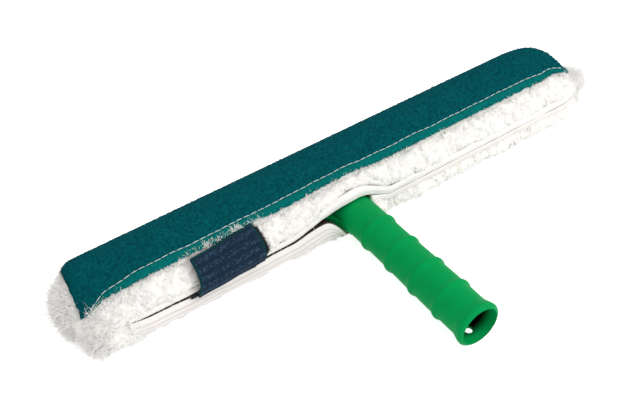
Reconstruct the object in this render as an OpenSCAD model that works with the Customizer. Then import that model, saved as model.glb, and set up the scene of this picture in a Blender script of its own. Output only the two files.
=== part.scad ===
// Window scrubber: a fixed T-bar with a ringed, hollow pole handle, dressed in
// a washer sleeve of fleece with a scrubbing pad on its top.
// Lengths are millimetres. X runs along the crossbar, the handle points to -Y
// and the scrubbing pad faces +Z. Z = 0 is the face that the sleeve lies on.

/* [Crossbar] */
// Length of the crossbar
bar_len = 424; // [300:2:520]
// Depth of the crossbar, front rail to back rail
bar_depth = 36; // [32:0.5:44]
// Height of the crossbar
bar_h = 16; // [14:0.5:18]
// Distance of the crossbar's middle behind the origin, negative towards the handle
bar_y = -7; // [-10:0.5:-4]
// Height of the crossbar's and the handle's common axis
axis_z = 21; // [20:0.5:23]
// Radius of the crossbar's corners, seen from above
bar_corner_r = 14; // [6:1:16]
// Width of one water pocket
pocket_w = 14; // [8:1:16]
// Length of one water pocket, front to back
pocket_len = 25; // [18:1:26]
// Rib between two water pockets
pocket_rib = 5; // [3:1:10]
// Thickness of the web between the upper and the lower pockets
pocket_web = 2; // [1.5:0.5:3]
// Radius of the drain hole in each pocket's web
drain_r = 3; // [1.5:0.5:4]

/* [Hub] */
// Length of the solid hub in the crossbar's middle
hub_len = 92; // [90:2:110]
// Radius of the hub's long edges
hub_edge_r = 2; // [1:0.5:3]
// Width of the handle's tongue
tongue_w = 46; // [36:1:56]
// Reach of the tongue into the hub
tongue_len = 26; // [20:1:28]
// Thickness of the tongue
tongue_t = 7; // [5:0.5:8]
// Clearance all round the tongue
tongue_gap = 0.15; // [0.1:0.05:0.3]
// Distance between the two screws
screw_pitch = 28; // [20:1:34]
// Radius of a screw's shank
screw_r = 2; // [1.5:0.1:2.5]
// Radius of a screw's head
screw_head_r = 3.6; // [3:0.1:4.5]
// Height of a screw's head
screw_head_h = 2; // [1.4:0.1:2.5]
// Clearance round the screws
screw_gap = 0.1; // [0.05:0.05:0.2]
// Depth of the screw's bite in the hub's upper wall
screw_bite = 2.4; // [1.5:0.1:3]

/* [Handle] */
// Outer radius of the grip between its rings
grip_r = 15.5; // [14.5:0.1:16.5]
// Radius of the pole socket
socket_r = 13.6; // [12:0.1:13.8]
// Distance of the mouth's face from the origin
mouth_reach = 186; // [178:1:230]
// Depth of the pole socket behind its lead-in
socket_len = 112; // [60:1:112]
// Length of the lead-in at the mouth
lead_in = 6.5; // [4:0.5:6.5]
// Radius of the lead-in at the mouth's face
mouth_r = 15.6; // [14.5:0.1:16]
// Outer radius of the rolled lip at the mouth
lip_r = 18.6; // [17.5:0.1:20]
// Length of the rolled lip and its flare
lip_len = 13; // [10:0.5:16]
// Rings on the grip
ring_count = 4; // [2:1:5]
// Distance from one ring to the next
ring_pitch = 28; // [14:1:30]
// Distance of the first ring from the origin
ring_start = 70; // [68:1:76]
// Height of a ring above the grip
ring_h = 1.4; // [0.6:0.1:2]
// Length of one ring
ring_len = 10; // [6:0.5:12]
// Length of the neck between the crossbar and the grip
neck_len = 36; // [32:1:38]
// Width of the neck where it meets the crossbar
neck_root_w = 34; // [30:1:48]
// Height of the neck where it meets the crossbar
neck_root_h = 12; // [10:0.5:15]
// Radius of the fillets at which the neck's side webs run out into the crossbar
web_r = 30; // [20:1:32]
// Thickness of the side webs
web_t = 7; // [4:0.5:9]
// Drop of the side webs below the handle's axis
web_drop = 3; // [0:0.5:4]
// Radius of the lock hole in the handle's underside
lock_r = 3.5; // [2.5:0.1:4]
// Distance of the lock hole from the mouth's face
lock_inset = 11.5; // [11.5:0.5:16]

/* [Sleeve] */
// Free length of the sleeve's pocket past each end of the crossbar, when centred
sleeve_play = 10; // [9:1:20]
// Shift of the sleeve along the crossbar, to the right of the handle
sleeve_shift = 8; // [-8:1:8]
// Length of each end that closes like a pillow
pillow_len = 28; // [22:1:34]
// Fleece that reaches past each end of the pocket
end_wall = 18; // [14:1:20]
// Distance of the slit from the origin
slit_reach = 41; // [39:0.5:46]
// Height of the slit
slit_z = 22; // [21:0.5:24]
// Half of the gap between the slit's closed lips
slit_gap = 0.5; // [0.4:0.1:1]
// Clearance between the crossbar and the backing
bar_fit = 0.7; // [0.5:0.1:0.9]
// Thickness of the woven backing
backing_t = 0.8; // [0.5:0.1:1.2]
// Thickness of the fleece's pile at the back
pile_t = 12.4; // [9:0.2:15]
// Thickness of the fleece's pile below the pad
pile_top = 13; // [9:0.2:15]
// Thickness of the pile's full underside, of which the floor takes a part
pile_under = 13.6; // [12:0.2:16]
// Bulge of the fleece in front of the slit, above it
bulge_upper = 6; // [3:0.5:8]
// Bulge of the fleece in front of the slit, below it
bulge_lower = 11; // [6:0.5:12]
// Height over which each bulge is drawn in to the slit
draw_in = 8; // [6:0.5:10]
// Thickness of the fleece at the slit's lips
lip_t = 4; // [3:0.5:6]
// Clearance between two layers that are sewn together
layer_gap = 0.2; // [0.1:0.05:0.3]
// Rise of the fleece where it passes over the neck
neck_rise = 4.5; // [2:0.5:6]
// Clearance between the lips and the neck
neck_gap = 0.9; // [0.5:0.1:2]
// Reach of the lifted lip to the left of the neck
lift_left = 62; // [50:1:80]
// Reach of the lifted lip to the right of the neck
lift_right = 38; // [36:1:70]
// Reach of the lowered lip to the right of the neck
lower_right = 36; // [36:1:60]
// Droop of the sleeve's left front corner, at the tip
droop_left = 19; // [0:0.5:19]
// Droop of the sleeve's right front corner, at the tip
droop_right = 10; // [0:0.5:12]
// Length of the drooping corners
droop_len = 50; // [30:1:55]

/* [Scrubbing pad] */
// Thickness of the pad
pad_t = 4.5; // [3:0.5:6]
// Thickness of the pad's edges
pad_edge_t = 2.5; // [1.5:0.5:3]
// Distance of the pad's front edge from the origin
pad_front = 26; // [22:0.5:30]
// Height of the pad's back edge
pad_back_z = 25; // [24:0.5:34]
// Inset of the pad's ends from the sleeve's tips
pad_inset = 11; // [8:0.5:13]
// Radius of the pad's back corners
pad_corner_r = 24; // [10:1:30]
// Clearance between the pad and the fleece
pad_gap = 0.3; // [0.2:0.05:0.4]

/* [Hem tapes] */
// Height of each tape
hem_h = 6; // [4:0.5:7]
// Thickness of each tape
hem_t = 1.4; // [1:0.1:2]
// Inset of each tape's ends from the sleeve's tips
hem_inset = 24; // [21:1:40]

/* [Closure] */
// Width of the closure strap
strap_w = 56; // [40:1:70]
// Distance of the strap's middle to the left of the handle
strap_left = 114; // [100:1:150]
// Thickness of the strap
strap_t = 1.6; // [1:0.1:2]
// Reach of the strap's end to the back, from the origin
strap_top = 29; // [27:0.5:33]
// Clearance between the strap and the hem tape at its foot
strap_gap = 1.2; // [1:0.1:1.5]
// Thickness of the hook patch
hook_t = 1.2; // [0.8:0.1:1.6]
// Width of the hook patch past the strap's right edge
hook_peek = 2.5; // [0:0.5:4]
// Thickness of the loop patch
loop_t = 1; // [0.6:0.1:1.4]
// Inset of both patches from the strap's free edges
patch_inset = 3; // [2:0.5:5]
// Clearance between surfaces that only lie on each other
touch_gap = 0.3; // [0.2:0.05:0.4]
// Reach of the strap's sewn tail into the slit
tail_len = 12; // [8:1:20]
// Shift of the tail to the left of the strap
tail_shift = 8; // [0:1:12]

/* [Hidden] */

PLASTIC = "#00964a";
FLEECE = "#f2f1ee";
TAPE = "#fbfaf7";
PAD = "#035a58";
NAVY = "#142e4a";
BLACK = "#191b1e";
STEEL = "#b9bcc0";

EPS = 0.01;
CURVE = 64;
// Exponents of the rounded, squarish curves that the sections follow
HUMP_SHAPE = 1.5;
POCKET_SQ = 3.2;
FLEECE_SQ = 2.5;
END_SQ = 2.5;
// Steps round a section of the sleeve, of the pad, of a strap, of a tape, of a ring and of the neck
SLEEVE_STEPS = 34;
PAD_STEPS = 18;
STRAP_STEPS = 12;
HEM_STEPS = 3;
RING_STEPS = 8;
NECK_STEPS = 9;
NECK_SIDES = 48;
// Steps along the plain runs of the sleeve, along its lift over the neck, and the
// places on the way from the pad's end to the tip
RUN_STEPS = 3;
LIFT_STEPS = 8;
TIP_SHARES = [0.35, 0.65, 0.85, 0.97];
// How strongly the points of a section gather at the slit's lips
SPREAD_SHARE = 0.75;
// Angle at which the front's shaping sets in, and the angle over which it grows
FRONT_FROM = 80;
FRONT_SPAN = 60;
// Angle at which the corners' droop sets in, the angle over which it grows, and its
// curve along the sleeve
DROOP_FROM = 50;
DROOP_SPAN = 70;
DROOP_SHAPE = 1.5;
// Largest share of a section's half size that a lip may take, outside and inside
LIP_SHARE = 0.98;
INNER_LIP_SHARE = 0.72;
// Slack of the cloth above the crossbar
POCKET_SLACK = 1;
// Angle to which the pad's rounded back corners are cut
PAD_CUT_ANGLE = 70;
// Width of the pad's rounded rim at its ends, and its long edges' share of the pad
PAD_RIM = 6;
PAD_EDGE_SHARE = 6;
// Squareness of the neck's root, how fast it fades towards the grip, how far the neck
// is rooted in the grip and how little it stands below the grip's face
NECK_ROOT_SQ = 2.8;
NECK_FADE = 1.5;
NECK_ROOTED = 1;
NECK_SUNK = 0.04;
// How far the webs run into the neck's sides
WEB_SUNK = 1.5;

front_y = bar_y - bar_depth / 2;
mouth_y = -mouth_reach;
socket_end_y = mouth_y + lead_in + socket_len;
grip_end_y = front_y - neck_len;

// Distances from the sleeve's middle: the pocket's end, the tip, and the start of the rounding
wall_x = bar_len / 2 + sleeve_play;
tip_x = wall_x + end_wall;
pillow_x = tip_x - pillow_len;
pad_x = tip_x - pad_inset;

// Half sizes of the pocket inside the sleeve, measured from the slit's height
in_back = bar_depth / 2 + bar_fit;
in_front = slit_reach + bar_y - lip_t;
in_up = axis_z + bar_h / 2 + bar_fit - slit_z + POCKET_SLACK;
in_down = slit_z - axis_z + bar_h / 2 + bar_fit;

// Half sizes of the fleece's outside
skin = backing_t + layer_gap;
out_back = in_back + skin + pile_t;
out_up = in_up + skin + pile_top;
out_down = in_down + skin + pile_under;
out_front_up = slit_reach + bar_y + bulge_upper;
out_front_down = slit_reach + bar_y + bulge_lower;

// Curve helpers
function clamp01(t) = min(1, max(0, t));
function smooth(t) = let (u = clamp01(t)) u * u * (3 - 2 * u);
function signed_pow(v, p) = sign(v) * pow(abs(v), p);
function hump(u) = pow(max(0, 1 - u * u), HUMP_SHAPE);
function mix(a, b, t) = a + (b - a) * t;

// Height and width of the neck at a distance in front of the crossbar
function neck_fade(y) = pow(1 - clamp01((front_y - y) / neck_len), NECK_FADE);
function neck_half_w(y) = mix(grip_r, neck_root_w / 2, neck_fade(y));
function neck_half_h(y) = mix(grip_r, neck_root_h / 2, neck_fade(y));

// How strongly a place along X feels the neck, above and below it, from 0 to 1
function neck_pull(x) = hump(x < 0 ? x / lift_left : x / lift_right);
function lower_pull(x) = hump(x < 0 ? x / lift_left : x / lower_right);

// How far a lip stands from the slit's height, so that it clears the neck
neck_h_at_slit = neck_half_h(-slit_reach);
upper_part = axis_z + neck_h_at_slit + neck_gap - slit_z;
lower_part = slit_z - axis_z + neck_h_at_slit + neck_gap;
function lip_up(x) = mix(slit_gap, upper_part, neck_pull(x));
function lip_down(x) = mix(slit_gap, lower_part, lower_pull(x));

// The sleeve's scale near its tips: 1 along the sleeve, falling towards each tip
function end_scale(x) = let (t = clamp01((abs(x - sleeve_shift) - pillow_x) / pillow_len))
    pow(1 - pow(t, END_SQ), 1 / END_SQ);

// Height that the drooping front corners keep, as a share of the plain height, and
// how strongly an angle round the section feels the droop
function corner_droop(x) = x < sleeve_shift ? droop_left : droop_right;
function squeeze(x, drop) = 1 - drop / out_up *
    pow(clamp01((abs(x - sleeve_shift) - tip_x + droop_len) / droop_len), DROOP_SHAPE);
function droop_weight(a) = smooth((a - DROOP_FROM) / DROOP_SPAN);

// A point of a section: a squarish oval with its own half size on each side.
// Angle 0 is the back, 90 the top, 180 and -180 the slit and -90 the floor.
function oval(front, back, up, down, sq, a) = [
    (cos(a) < 0 ? front : back) * signed_pow(cos(a), 2 / sq),
    (sin(a) < 0 ? down : up) * signed_pow(sin(a), 2 / sq)];

// The angle at which an oval's half size is reached by a given share
function lip_angle(part, half, sq) = asin(min(LIP_SHARE, pow(part / half, sq / 2)));

// Weight of the front quarter, above or below the slit
function front_weight(a) = smooth((abs(a) - FRONT_FROM) / FRONT_SPAN);

// Outside of the fleece. The rise over the neck and the fold of the lips
// towards the slit are added to the plain oval.
function fleece_point(x, a, grow, drop = -1) = let (
    fall = squeeze(x, drop < 0 ? corner_droop(x) : drop),
    s = end_scale(x),
    up = a > 0,
    front = (up ? out_front_up : out_front_down) * s + grow,
    p = oval(front, out_back * s + grow, out_up * s + grow, out_down * s + grow, FLEECE_SQ, a),
    w = front_weight(a),
    rise = up ? neck_rise * neck_pull(x) * w : 0,
    z = slit_z + p[1] * (up ? mix(1, fall, droop_weight(a)) : 1) + rise,
    lip = up ? slit_z + lip_up(x) : slit_z - lip_down(x),
    fold = (up ? bulge_upper : bulge_lower) * s * w * exp(-pow((z - lip) / draw_in, 2)))
    [bar_y + p[0] + fold, max(0, z)];

// Inside of the sleeve: the pocket that holds the crossbar
inner_rise = lower_part - in_down * INNER_LIP_SHARE;
function pocket_point(x, a, grow) = let (
    up = a > 0,
    p = oval(in_front + grow, in_back + grow, in_up + grow, in_down + grow, POCKET_SQ, a),
    rise = inner_rise * (up ? neck_pull(x) : lower_pull(x)) * front_weight(a))
    [bar_y + p[0], slit_z + p[1] + (up ? rise : -rise)];

// Angles at which the two lips end, outside and inside
function out_stop_up(x) = 180 - lip_angle(max(slit_gap, lip_up(x) - neck_rise * neck_pull(x)) /
    (end_scale(x) * squeeze(x, corner_droop(x))), out_up, FLEECE_SQ);
function out_stop_down(x) = -180 + lip_angle(lip_down(x) / end_scale(x), out_down, FLEECE_SQ);
function in_stop_up(x) = 180 - lip_angle(max(slit_gap, lip_up(x) - inner_rise * neck_pull(x)),
    in_up, POCKET_SQ);
function in_stop_down(x) = -180 + lip_angle(max(slit_gap, lip_down(x) - inner_rise * lower_pull(x)),
    in_down, POCKET_SQ);

// Places along X where the sections are drawn, closer together at the neck and the tips.
// The layers share them, so that one layer's flats lie along the next one's.
middle_stations = concat(
    [for (i = [0:RUN_STEPS]) mix(sleeve_shift - pillow_x, -lift_left, i / RUN_STEPS)],
    [for (i = [1:LIFT_STEPS]) -lift_left * (1 - i / LIFT_STEPS)],
    [for (i = [1:LIFT_STEPS - 1]) lift_right * i / (LIFT_STEPS - 1)],
    [for (i = [1:RUN_STEPS]) mix(lift_right, sleeve_shift + pillow_x, i / RUN_STEPS)]);
tip_stations = concat(
    [mix(pillow_x, wall_x, 0.5), wall_x, mix(wall_x, pad_x, 0.5), mix(wall_x, pad_x, 0.8), pad_x],
    [for (t = TIP_SHARES) mix(pad_x, tip_x, t)]);
function stations(reach) = let (out = concat([for (t = tip_stations) if (t < reach - EPS) t], [reach]))
    concat([for (i = [len(out) - 1:-1:0]) sleeve_shift - out[i]], middle_stations,
        [for (t = out) sleeve_shift + t]);

// Angles round a section, closer together at the slit's two lips
function spread(t) = mix(t, smooth(t), SPREAD_SHARE);

// A band between two paths of equal length, as one closed loop
function band(x, outer, inner) = let (n = len(outer))
    concat([for (p = outer) [x, p[0], p[1]]], [for (i = [n - 1:-1:0]) [x, inner[i][0], inner[i][1]]]);

// A solid through a row of closed loops that all have the same, even count of points.
// The caps of a band are strips between its two paths, those of a round loop are whole.
module skin_loops(loops, whole_caps = false) {
    m = len(loops[0]);
    last = len(loops) - 1;
    sides = [for (s = [0:last - 1], j = [0:m - 1])
        let (a = s * m + j, b = s * m + (j + 1) % m)
        each [[a, b, b + m], [a, b + m, a + m]]];
    first_cap = whole_caps ? [[for (j = [m - 1:-1:0]) j]] : [for (j = [0:m / 2 - 2])
        each [[j, m - 1 - j, m - 2 - j], [j, m - 2 - j, j + 1]]];
    last_cap = [for (f = first_cap) [for (k = [len(f) - 1:-1:0]) last * m + f[k]]];
    polyhedron([for (l = loops) each l], concat(sides, first_cap, last_cap), convexity = 8);
}

// Crossbar

// The rail's section is a stadium, drawn in the Y Z plane
module rail_section(h) {
    straight_half = bar_depth / 2 - h / 2;
    square([2 * straight_half, h], center = true);
    for (side = [-1, 1])
        translate([side * straight_half, 0])
            circle(d = h, $fn = CURVE);
}

module bar_plan() {
    square([bar_len - 2 * bar_corner_r, bar_depth], center = true);
    square([bar_len, bar_depth - 2 * bar_corner_r], center = true);
    for (sx = [-1, 1], sy = [-1, 1])
        translate([sx * (bar_len / 2 - bar_corner_r), sy * (bar_depth / 2 - bar_corner_r)])
            circle(r = bar_corner_r, $fn = CURVE);
}

module pocket_plan() {
    straight = pocket_len - pocket_w;
    square([pocket_w, straight], center = true);
    for (side = [-1, 1])
        translate([0, side * straight / 2])
            circle(d = pocket_w, $fn = CURVE);
}

// The hub is squarer than the rails, with a flat face that the neck's root meets
module hub_section() {
    inner_d = bar_depth / 2 - hub_edge_r;
    inner_h = bar_h - 2 * hub_edge_r;
    translate([-bar_depth / 2, -inner_h / 2])
        square([bar_depth / 2, inner_h]);
    translate([-inner_d, -bar_h / 2])
        square([inner_d, bar_h]);
    for (side = [-1, 1])
        translate([-inner_d, side * inner_h / 2])
            circle(r = hub_edge_r, $fn = CURVE);
}

module screw_places() {
    for (side = [-1, 1])
        translate([side * screw_pitch / 2, front_y + tongue_len / 2, axis_z])
            children();
}

module crossbar() {
    pocket_step = pocket_w + pocket_rib;
    run = bar_len / 2 - bar_corner_r / 2 - hub_len / 2;
    pocket_count = floor(run / pocket_step);
    color(PLASTIC)
        difference() {
            union() {
                intersection() {
                    translate([-bar_len / 2, bar_y, axis_z])
                        rotate([90, 0, 90])
                            linear_extrude(bar_len)
                                rail_section(bar_h);
                    translate([0, bar_y, axis_z - bar_h])
                        linear_extrude(2 * bar_h)
                            bar_plan();
                }
                translate([-hub_len / 2, bar_y, axis_z])
                    rotate([90, 0, 90])
                        linear_extrude(hub_len)
                            hub_section();
            }
            for (side = [-1, 1], i = [0:pocket_count - 1])
                translate([side * (hub_len / 2 + pocket_step * (i + 0.5)), bar_y, axis_z]) {
                    translate([0, 0, pocket_web / 2])
                        linear_extrude(bar_h)
                            pocket_plan();
                    mirror([0, 0, 1])
                        translate([0, 0, pocket_web / 2])
                            linear_extrude(bar_h)
                                pocket_plan();
                    cylinder(r = drain_r, h = bar_h, center = true, $fn = CURVE);
                }
            translate([-tongue_w / 2 - tongue_gap, front_y - EPS, axis_z - tongue_t / 2 - tongue_gap])
                cube([tongue_w + 2 * tongue_gap, tongue_len + tongue_gap + EPS, tongue_t + 2 * tongue_gap]);
            screw_places() {
                translate([0, 0, -bar_h])
                    cylinder(r = screw_r + screw_gap, h = bar_h + tongue_t / 2 + screw_bite, $fn = CURVE);
                translate([0, 0, -bar_h / 2 - EPS])
                    cylinder(r = screw_head_r + screw_gap, h = screw_head_h + EPS, $fn = CURVE);
            }
        }
}

// Handle

// One ring's swelling at a distance from the ring's middle
function ring_swell(d) = abs(d) >= ring_len / 2 ? 0 : ring_h * (1 + cos(360 * d / ring_len)) / 2;

// The grip's outside, from its neck end to the rolled lip, as radius and distance
grip_len = grip_end_y - mouth_y;
first_ring = grip_end_y + ring_start;
lip_back = grip_len - lip_len;
lip_bead = (lip_r - mouth_r) / 2;
grip_outside = concat(
    [[grip_r, 0]],
    [for (i = [0:ring_count - 1], k = [0:RING_STEPS])
        let (d = ring_len * (k / RING_STEPS - 0.5))
        [grip_r + ring_swell(d), first_ring + i * ring_pitch + d]],
    [for (k = [0:RING_STEPS])
        let (t = k / RING_STEPS)
        [mix(grip_r, lip_r, smooth(t)), lip_back + t * (lip_len - 2 * lip_bead)]],
    [for (k = [1:RING_STEPS])
        let (a = 180 * k / RING_STEPS)
        [lip_r - lip_bead + lip_bead * cos(a), grip_len - 2 * lip_bead + 2 * lip_bead * sin(a / 2)]]);

// The socket's inside, from its lead-in to its blind end
socket_inside = [
    [socket_r, grip_len - lead_in],
    [socket_r, grip_len - lead_in - socket_len],
    [0, grip_len - lead_in - socket_len]];

// One loop of the neck: round at the grip, wide and flat at the crossbar
function neck_loop(y, sunk) = let (
    f = neck_fade(y),
    sq = mix(2, NECK_ROOT_SQ, f),
    w = neck_half_w(y) - sunk,
    h = neck_half_h(y) - sunk)
    [for (i = [0:NECK_SIDES - 1])
        let (p = oval(w, w, h, h, sq, 360 * (i + 0.5) / NECK_SIDES))
        [p[0], y, axis_z + p[1]]];

// The flat web at the neck's root, seen from above, with a fillet on each side
module web_plan() {
    inner = grip_r - WEB_SUNK;
    difference() {
        translate([-inner - web_r, front_y - web_r])
            square([2 * (inner + web_r), web_r]);
        for (side = [-1, 1])
            translate([side * (inner + web_r), front_y - web_r])
                circle(r = web_r, $fn = CURVE);
    }
}

module handle() {
    color(PLASTIC)
        difference() {
            union() {
                translate([0, grip_end_y, axis_z])
                    rotate([90, 0, 0])
                        rotate_extrude($fn = CURVE)
                            polygon(concat([[0, 0]], grip_outside, socket_inside));
                skin_loops(concat(
                    [neck_loop(grip_end_y - NECK_ROOTED, NECK_ROOTED)],
                    [for (k = [0:NECK_STEPS])
                        neck_loop(grip_end_y + neck_len * k / NECK_STEPS, NECK_SUNK)]),
                    whole_caps = true);
                translate([0, 0, axis_z - web_drop - web_t / 2])
                    linear_extrude(web_t)
                        web_plan();
                translate([-tongue_w / 2, front_y - neck_root_h / 2, axis_z - tongue_t / 2])
                    cube([tongue_w, tongue_len + neck_root_h / 2, tongue_t]);
            }
            translate([0, mouth_y + lock_inset, axis_z - 2 * grip_r])
                cylinder(r = lock_r, h = 2 * grip_r, $fn = CURVE);
            screw_places()
                cylinder(r = screw_r + screw_gap, h = bar_h, center = true, $fn = CURVE);
        }
}

// Two pan-head screws that hold the tongue in the hub, driven from below
module handle_screws() {
    color(STEEL)
        screw_places() {
            translate([0, 0, -bar_h / 2 + screw_head_h / 2])
                cylinder(r = screw_r, h = bar_h / 2 - screw_head_h / 2 + tongue_t / 2 + screw_bite - screw_gap,
                    $fn = CURVE);
            translate([0, 0, -bar_h / 2])
                cylinder(r = screw_head_r, h = screw_head_h, $fn = CURVE);
        }
}

// Sleeve

function fleece_loop(x) = let (
    o0 = out_stop_up(x),
    o1 = out_stop_down(x),
    i0 = in_stop_up(x),
    i1 = in_stop_down(x))
    band(x,
        [for (k = [0:SLEEVE_STEPS]) fleece_point(x, mix(o0, o1, spread(k / SLEEVE_STEPS)), 0)],
        [for (k = [0:SLEEVE_STEPS]) pocket_point(x, mix(i0, i1, spread(k / SLEEVE_STEPS)), skin)]);

function backing_loop(x) = let (
    i0 = in_stop_up(x),
    i1 = in_stop_down(x))
    band(x,
        [for (k = [0:SLEEVE_STEPS]) pocket_point(x, mix(i0, i1, spread(k / SLEEVE_STEPS)), backing_t)],
        [for (k = [0:SLEEVE_STEPS]) pocket_point(x, mix(i0, i1, spread(k / SLEEVE_STEPS)), 0)]);

module sleeve_fleece() {
    color(FLEECE)
        skin_loops([for (x = stations(wall_x)) fleece_loop(x)]);
}

module sleeve_backing() {
    color(TAPE)
        skin_loops([for (x = stations(wall_x)) backing_loop(x)]);
}

// A closed end of the sleeve with a given droop, from the pocket's end wall to the right tip
module sleeve_end(drop) {
    sides = 2 * SLEEVE_STEPS;
    color(FLEECE)
        skin_loops([for (t = tip_stations) if (t > wall_x - EPS)
            [for (k = [0:sides - 1])
                let (p = fleece_point(sleeve_shift + t, 180 - 360 * (k + 0.5) / sides, 0, drop))
                [sleeve_shift + t, p[0], p[1]]]], whole_caps = true);
}

// Scrubbing pad

// Share of the pad's back corner that is cut away at a place along X
function corner_cut(x) = let (t = clamp01((abs(x - sleeve_shift) - pad_x + pad_corner_r) / pad_corner_r))
    1 - sqrt(max(0, 1 - t * t));

pad_front_angle = 180 - acos(pow((pad_front + bar_y) / out_front_up, FLEECE_SQ / 2));
pad_back_angle = asin(pow((pad_back_z - slit_z) / out_up, FLEECE_SQ / 2));

function pad_loop(x) = let (
    a0 = pad_front_angle,
    a1 = mix(pad_back_angle, PAD_CUT_ANGLE, corner_cut(x)),
    rim = sqrt(clamp01((pad_x - abs(x - sleeve_shift)) / PAD_RIM)))
    band(x,
        [for (k = [0:PAD_STEPS])
            let (t = k / PAD_STEPS, edge = sqrt(clamp01(min(t, 1 - t) * PAD_EDGE_SHARE)))
            fleece_point(x, mix(a0, a1, t), pad_gap + mix(pad_edge_t, pad_t, min(edge, rim)))],
        [for (k = [0:PAD_STEPS]) fleece_point(x, mix(a0, a1, k / PAD_STEPS), pad_gap)]);

module scrub_pad() {
    color(PAD)
        skin_loops([for (x = stations(pad_x)) pad_loop(x)]);
}

// Hem tapes

// Where the fleece's front stands at a height above or below the slit
function front_at(x, z, up) = let (
    s = end_scale(x),
    pull = neck_pull(x),
    half = (up ? out_up * squeeze(x, corner_droop(x)) : out_down) * s,
    front = (up ? out_front_up : out_front_down) * s,
    rise = up ? neck_rise * pull : 0,
    share = clamp01(abs(z - slit_z - rise) / half),
    lip = up ? slit_z + lip_up(x) : slit_z - lip_down(x),
    fold = (up ? bulge_upper : bulge_lower) * s * exp(-pow((z - lip) / draw_in, 2)))
    bar_y - front * pow(1 - pow(share, FLEECE_SQ), 1 / FLEECE_SQ) + fold;

function hem_height(x, up, t) = up ? slit_z + lip_up(x) + t * hem_h :
    max(slit_z - lip_down(x) - t * hem_h, EPS);

function hem_loop(x, up) = band(x,
    [for (k = [0:HEM_STEPS]) let (t = up ? k / HEM_STEPS : 1 - k / HEM_STEPS, z = hem_height(x, up, t))
        [front_at(x, z, up) - touch_gap - hem_t, z]],
    [for (k = [0:HEM_STEPS]) let (t = up ? k / HEM_STEPS : 1 - k / HEM_STEPS, z = hem_height(x, up, t))
        [front_at(x, z, up) - touch_gap, z]]);

module hem_tape(up) {
    color(TAPE)
        skin_loops([for (x = stations(tip_x - hem_inset)) hem_loop(x, up)]);
}

// Closure

// Layers over the upper fleece, as distances from it
loop_in = touch_gap;
loop_out = loop_in + loop_t;
hook_in = loop_out + touch_gap;
hook_out = hook_in + hook_t;
strap_in = hook_out + touch_gap / 2;
strap_out = strap_in + strap_t;

strap_left_x = -strap_left - strap_w / 2;
strap_right_x = -strap_left + strap_w / 2;
patch_foot_z = slit_z + slit_gap + hem_h + touch_gap;
strap_foot_z = slit_z + slit_gap;

// The foot of the strap stands this far in front of the plain, folded fleece
foot_out = touch_gap + hem_t + strap_gap;

// A point of a layer that lies over the upper fleece, at a share of the way to its upper edge
function layer_point(x, grow, foot_z, top_reach, t, ease) = let (
    s = 1 - pow(clamp01((top_reach + bar_y) / (out_front_up + grow)), FLEECE_SQ),
    top_share = pow(s, 1 / FLEECE_SQ),
    foot_share = (foot_z - slit_z) / (out_up + grow),
    a0 = asin(pow(foot_share, FLEECE_SQ / 2)),
    a1 = asin(pow(top_share, FLEECE_SQ / 2)),
    a = 180 - mix(a0, a1, t),
    p = oval(out_front_up + grow, out_back, out_up + grow, out_down, FLEECE_SQ, a),
    z = slit_z + p[1],
    fold = (bulge_upper + ease) * exp(-pow((z - slit_z - slit_gap) / draw_in, 2)))
    [bar_y + p[0] + fold, z];

// A flat piece of webbing over the fleece, between two places along X
module webbing(x0, x1, inner, outer, foot_z, top_reach, ease) {
    skin_loops([for (x = [x0, x1])
        band(x,
            [for (k = [0:STRAP_STEPS])
                layer_point(x, outer, foot_z, top_reach, k / STRAP_STEPS, ease)],
            [for (k = [0:STRAP_STEPS])
                layer_point(x, inner, foot_z, top_reach, k / STRAP_STEPS, ease)])]);
}

module loop_patch() {
    color(BLACK)
        webbing(strap_left_x + patch_inset, strap_right_x - patch_inset, loop_in, loop_out,
            patch_foot_z, strap_top + patch_inset, 0);
}

module hook_patch() {
    color(BLACK)
        webbing(strap_left_x + patch_inset, strap_right_x + hook_peek, hook_in, hook_out,
            patch_foot_z, strap_top + patch_inset, 0);
}

module closure_strap() {
    color(NAVY)
        webbing(strap_left_x, strap_right_x, strap_in, strap_out, strap_foot_z, strap_top,
            strap_in - foot_out);
}

// The strap's sewn tail, which lies in the slit on the lower flap
tail_t = slit_gap;
module strap_tail() {
    color(BLACK)
        translate([strap_left_x - tail_shift, -slit_reach - touch_gap - hem_t, slit_z - tail_t / 2])
            cube([strap_w, tail_len, tail_t]);
}

// The left end is made on the right and mirrored about the sleeve's middle
module left_sleeve_end() {
    translate([2 * sleeve_shift, 0, 0])
        mirror([1, 0, 0])
            sleeve_end(droop_left);
}

module right_sleeve_end() {
    sleeve_end(droop_right);
}

module upper_hem_tape() {
    hem_tape(true);
}

module lower_hem_tape() {
    hem_tape(false);
}

crossbar();
handle();
handle_screws();
sleeve_backing();
sleeve_fleece();
left_sleeve_end();
right_sleeve_end();
scrub_pad();
upper_hem_tape();
lower_hem_tape();
loop_patch();
strap_tail();
closure_strap();
hook_patch();
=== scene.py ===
import logging
from dataclasses import dataclass
from enum import Enum
from typing import Optional, Sequence, Union

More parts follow.
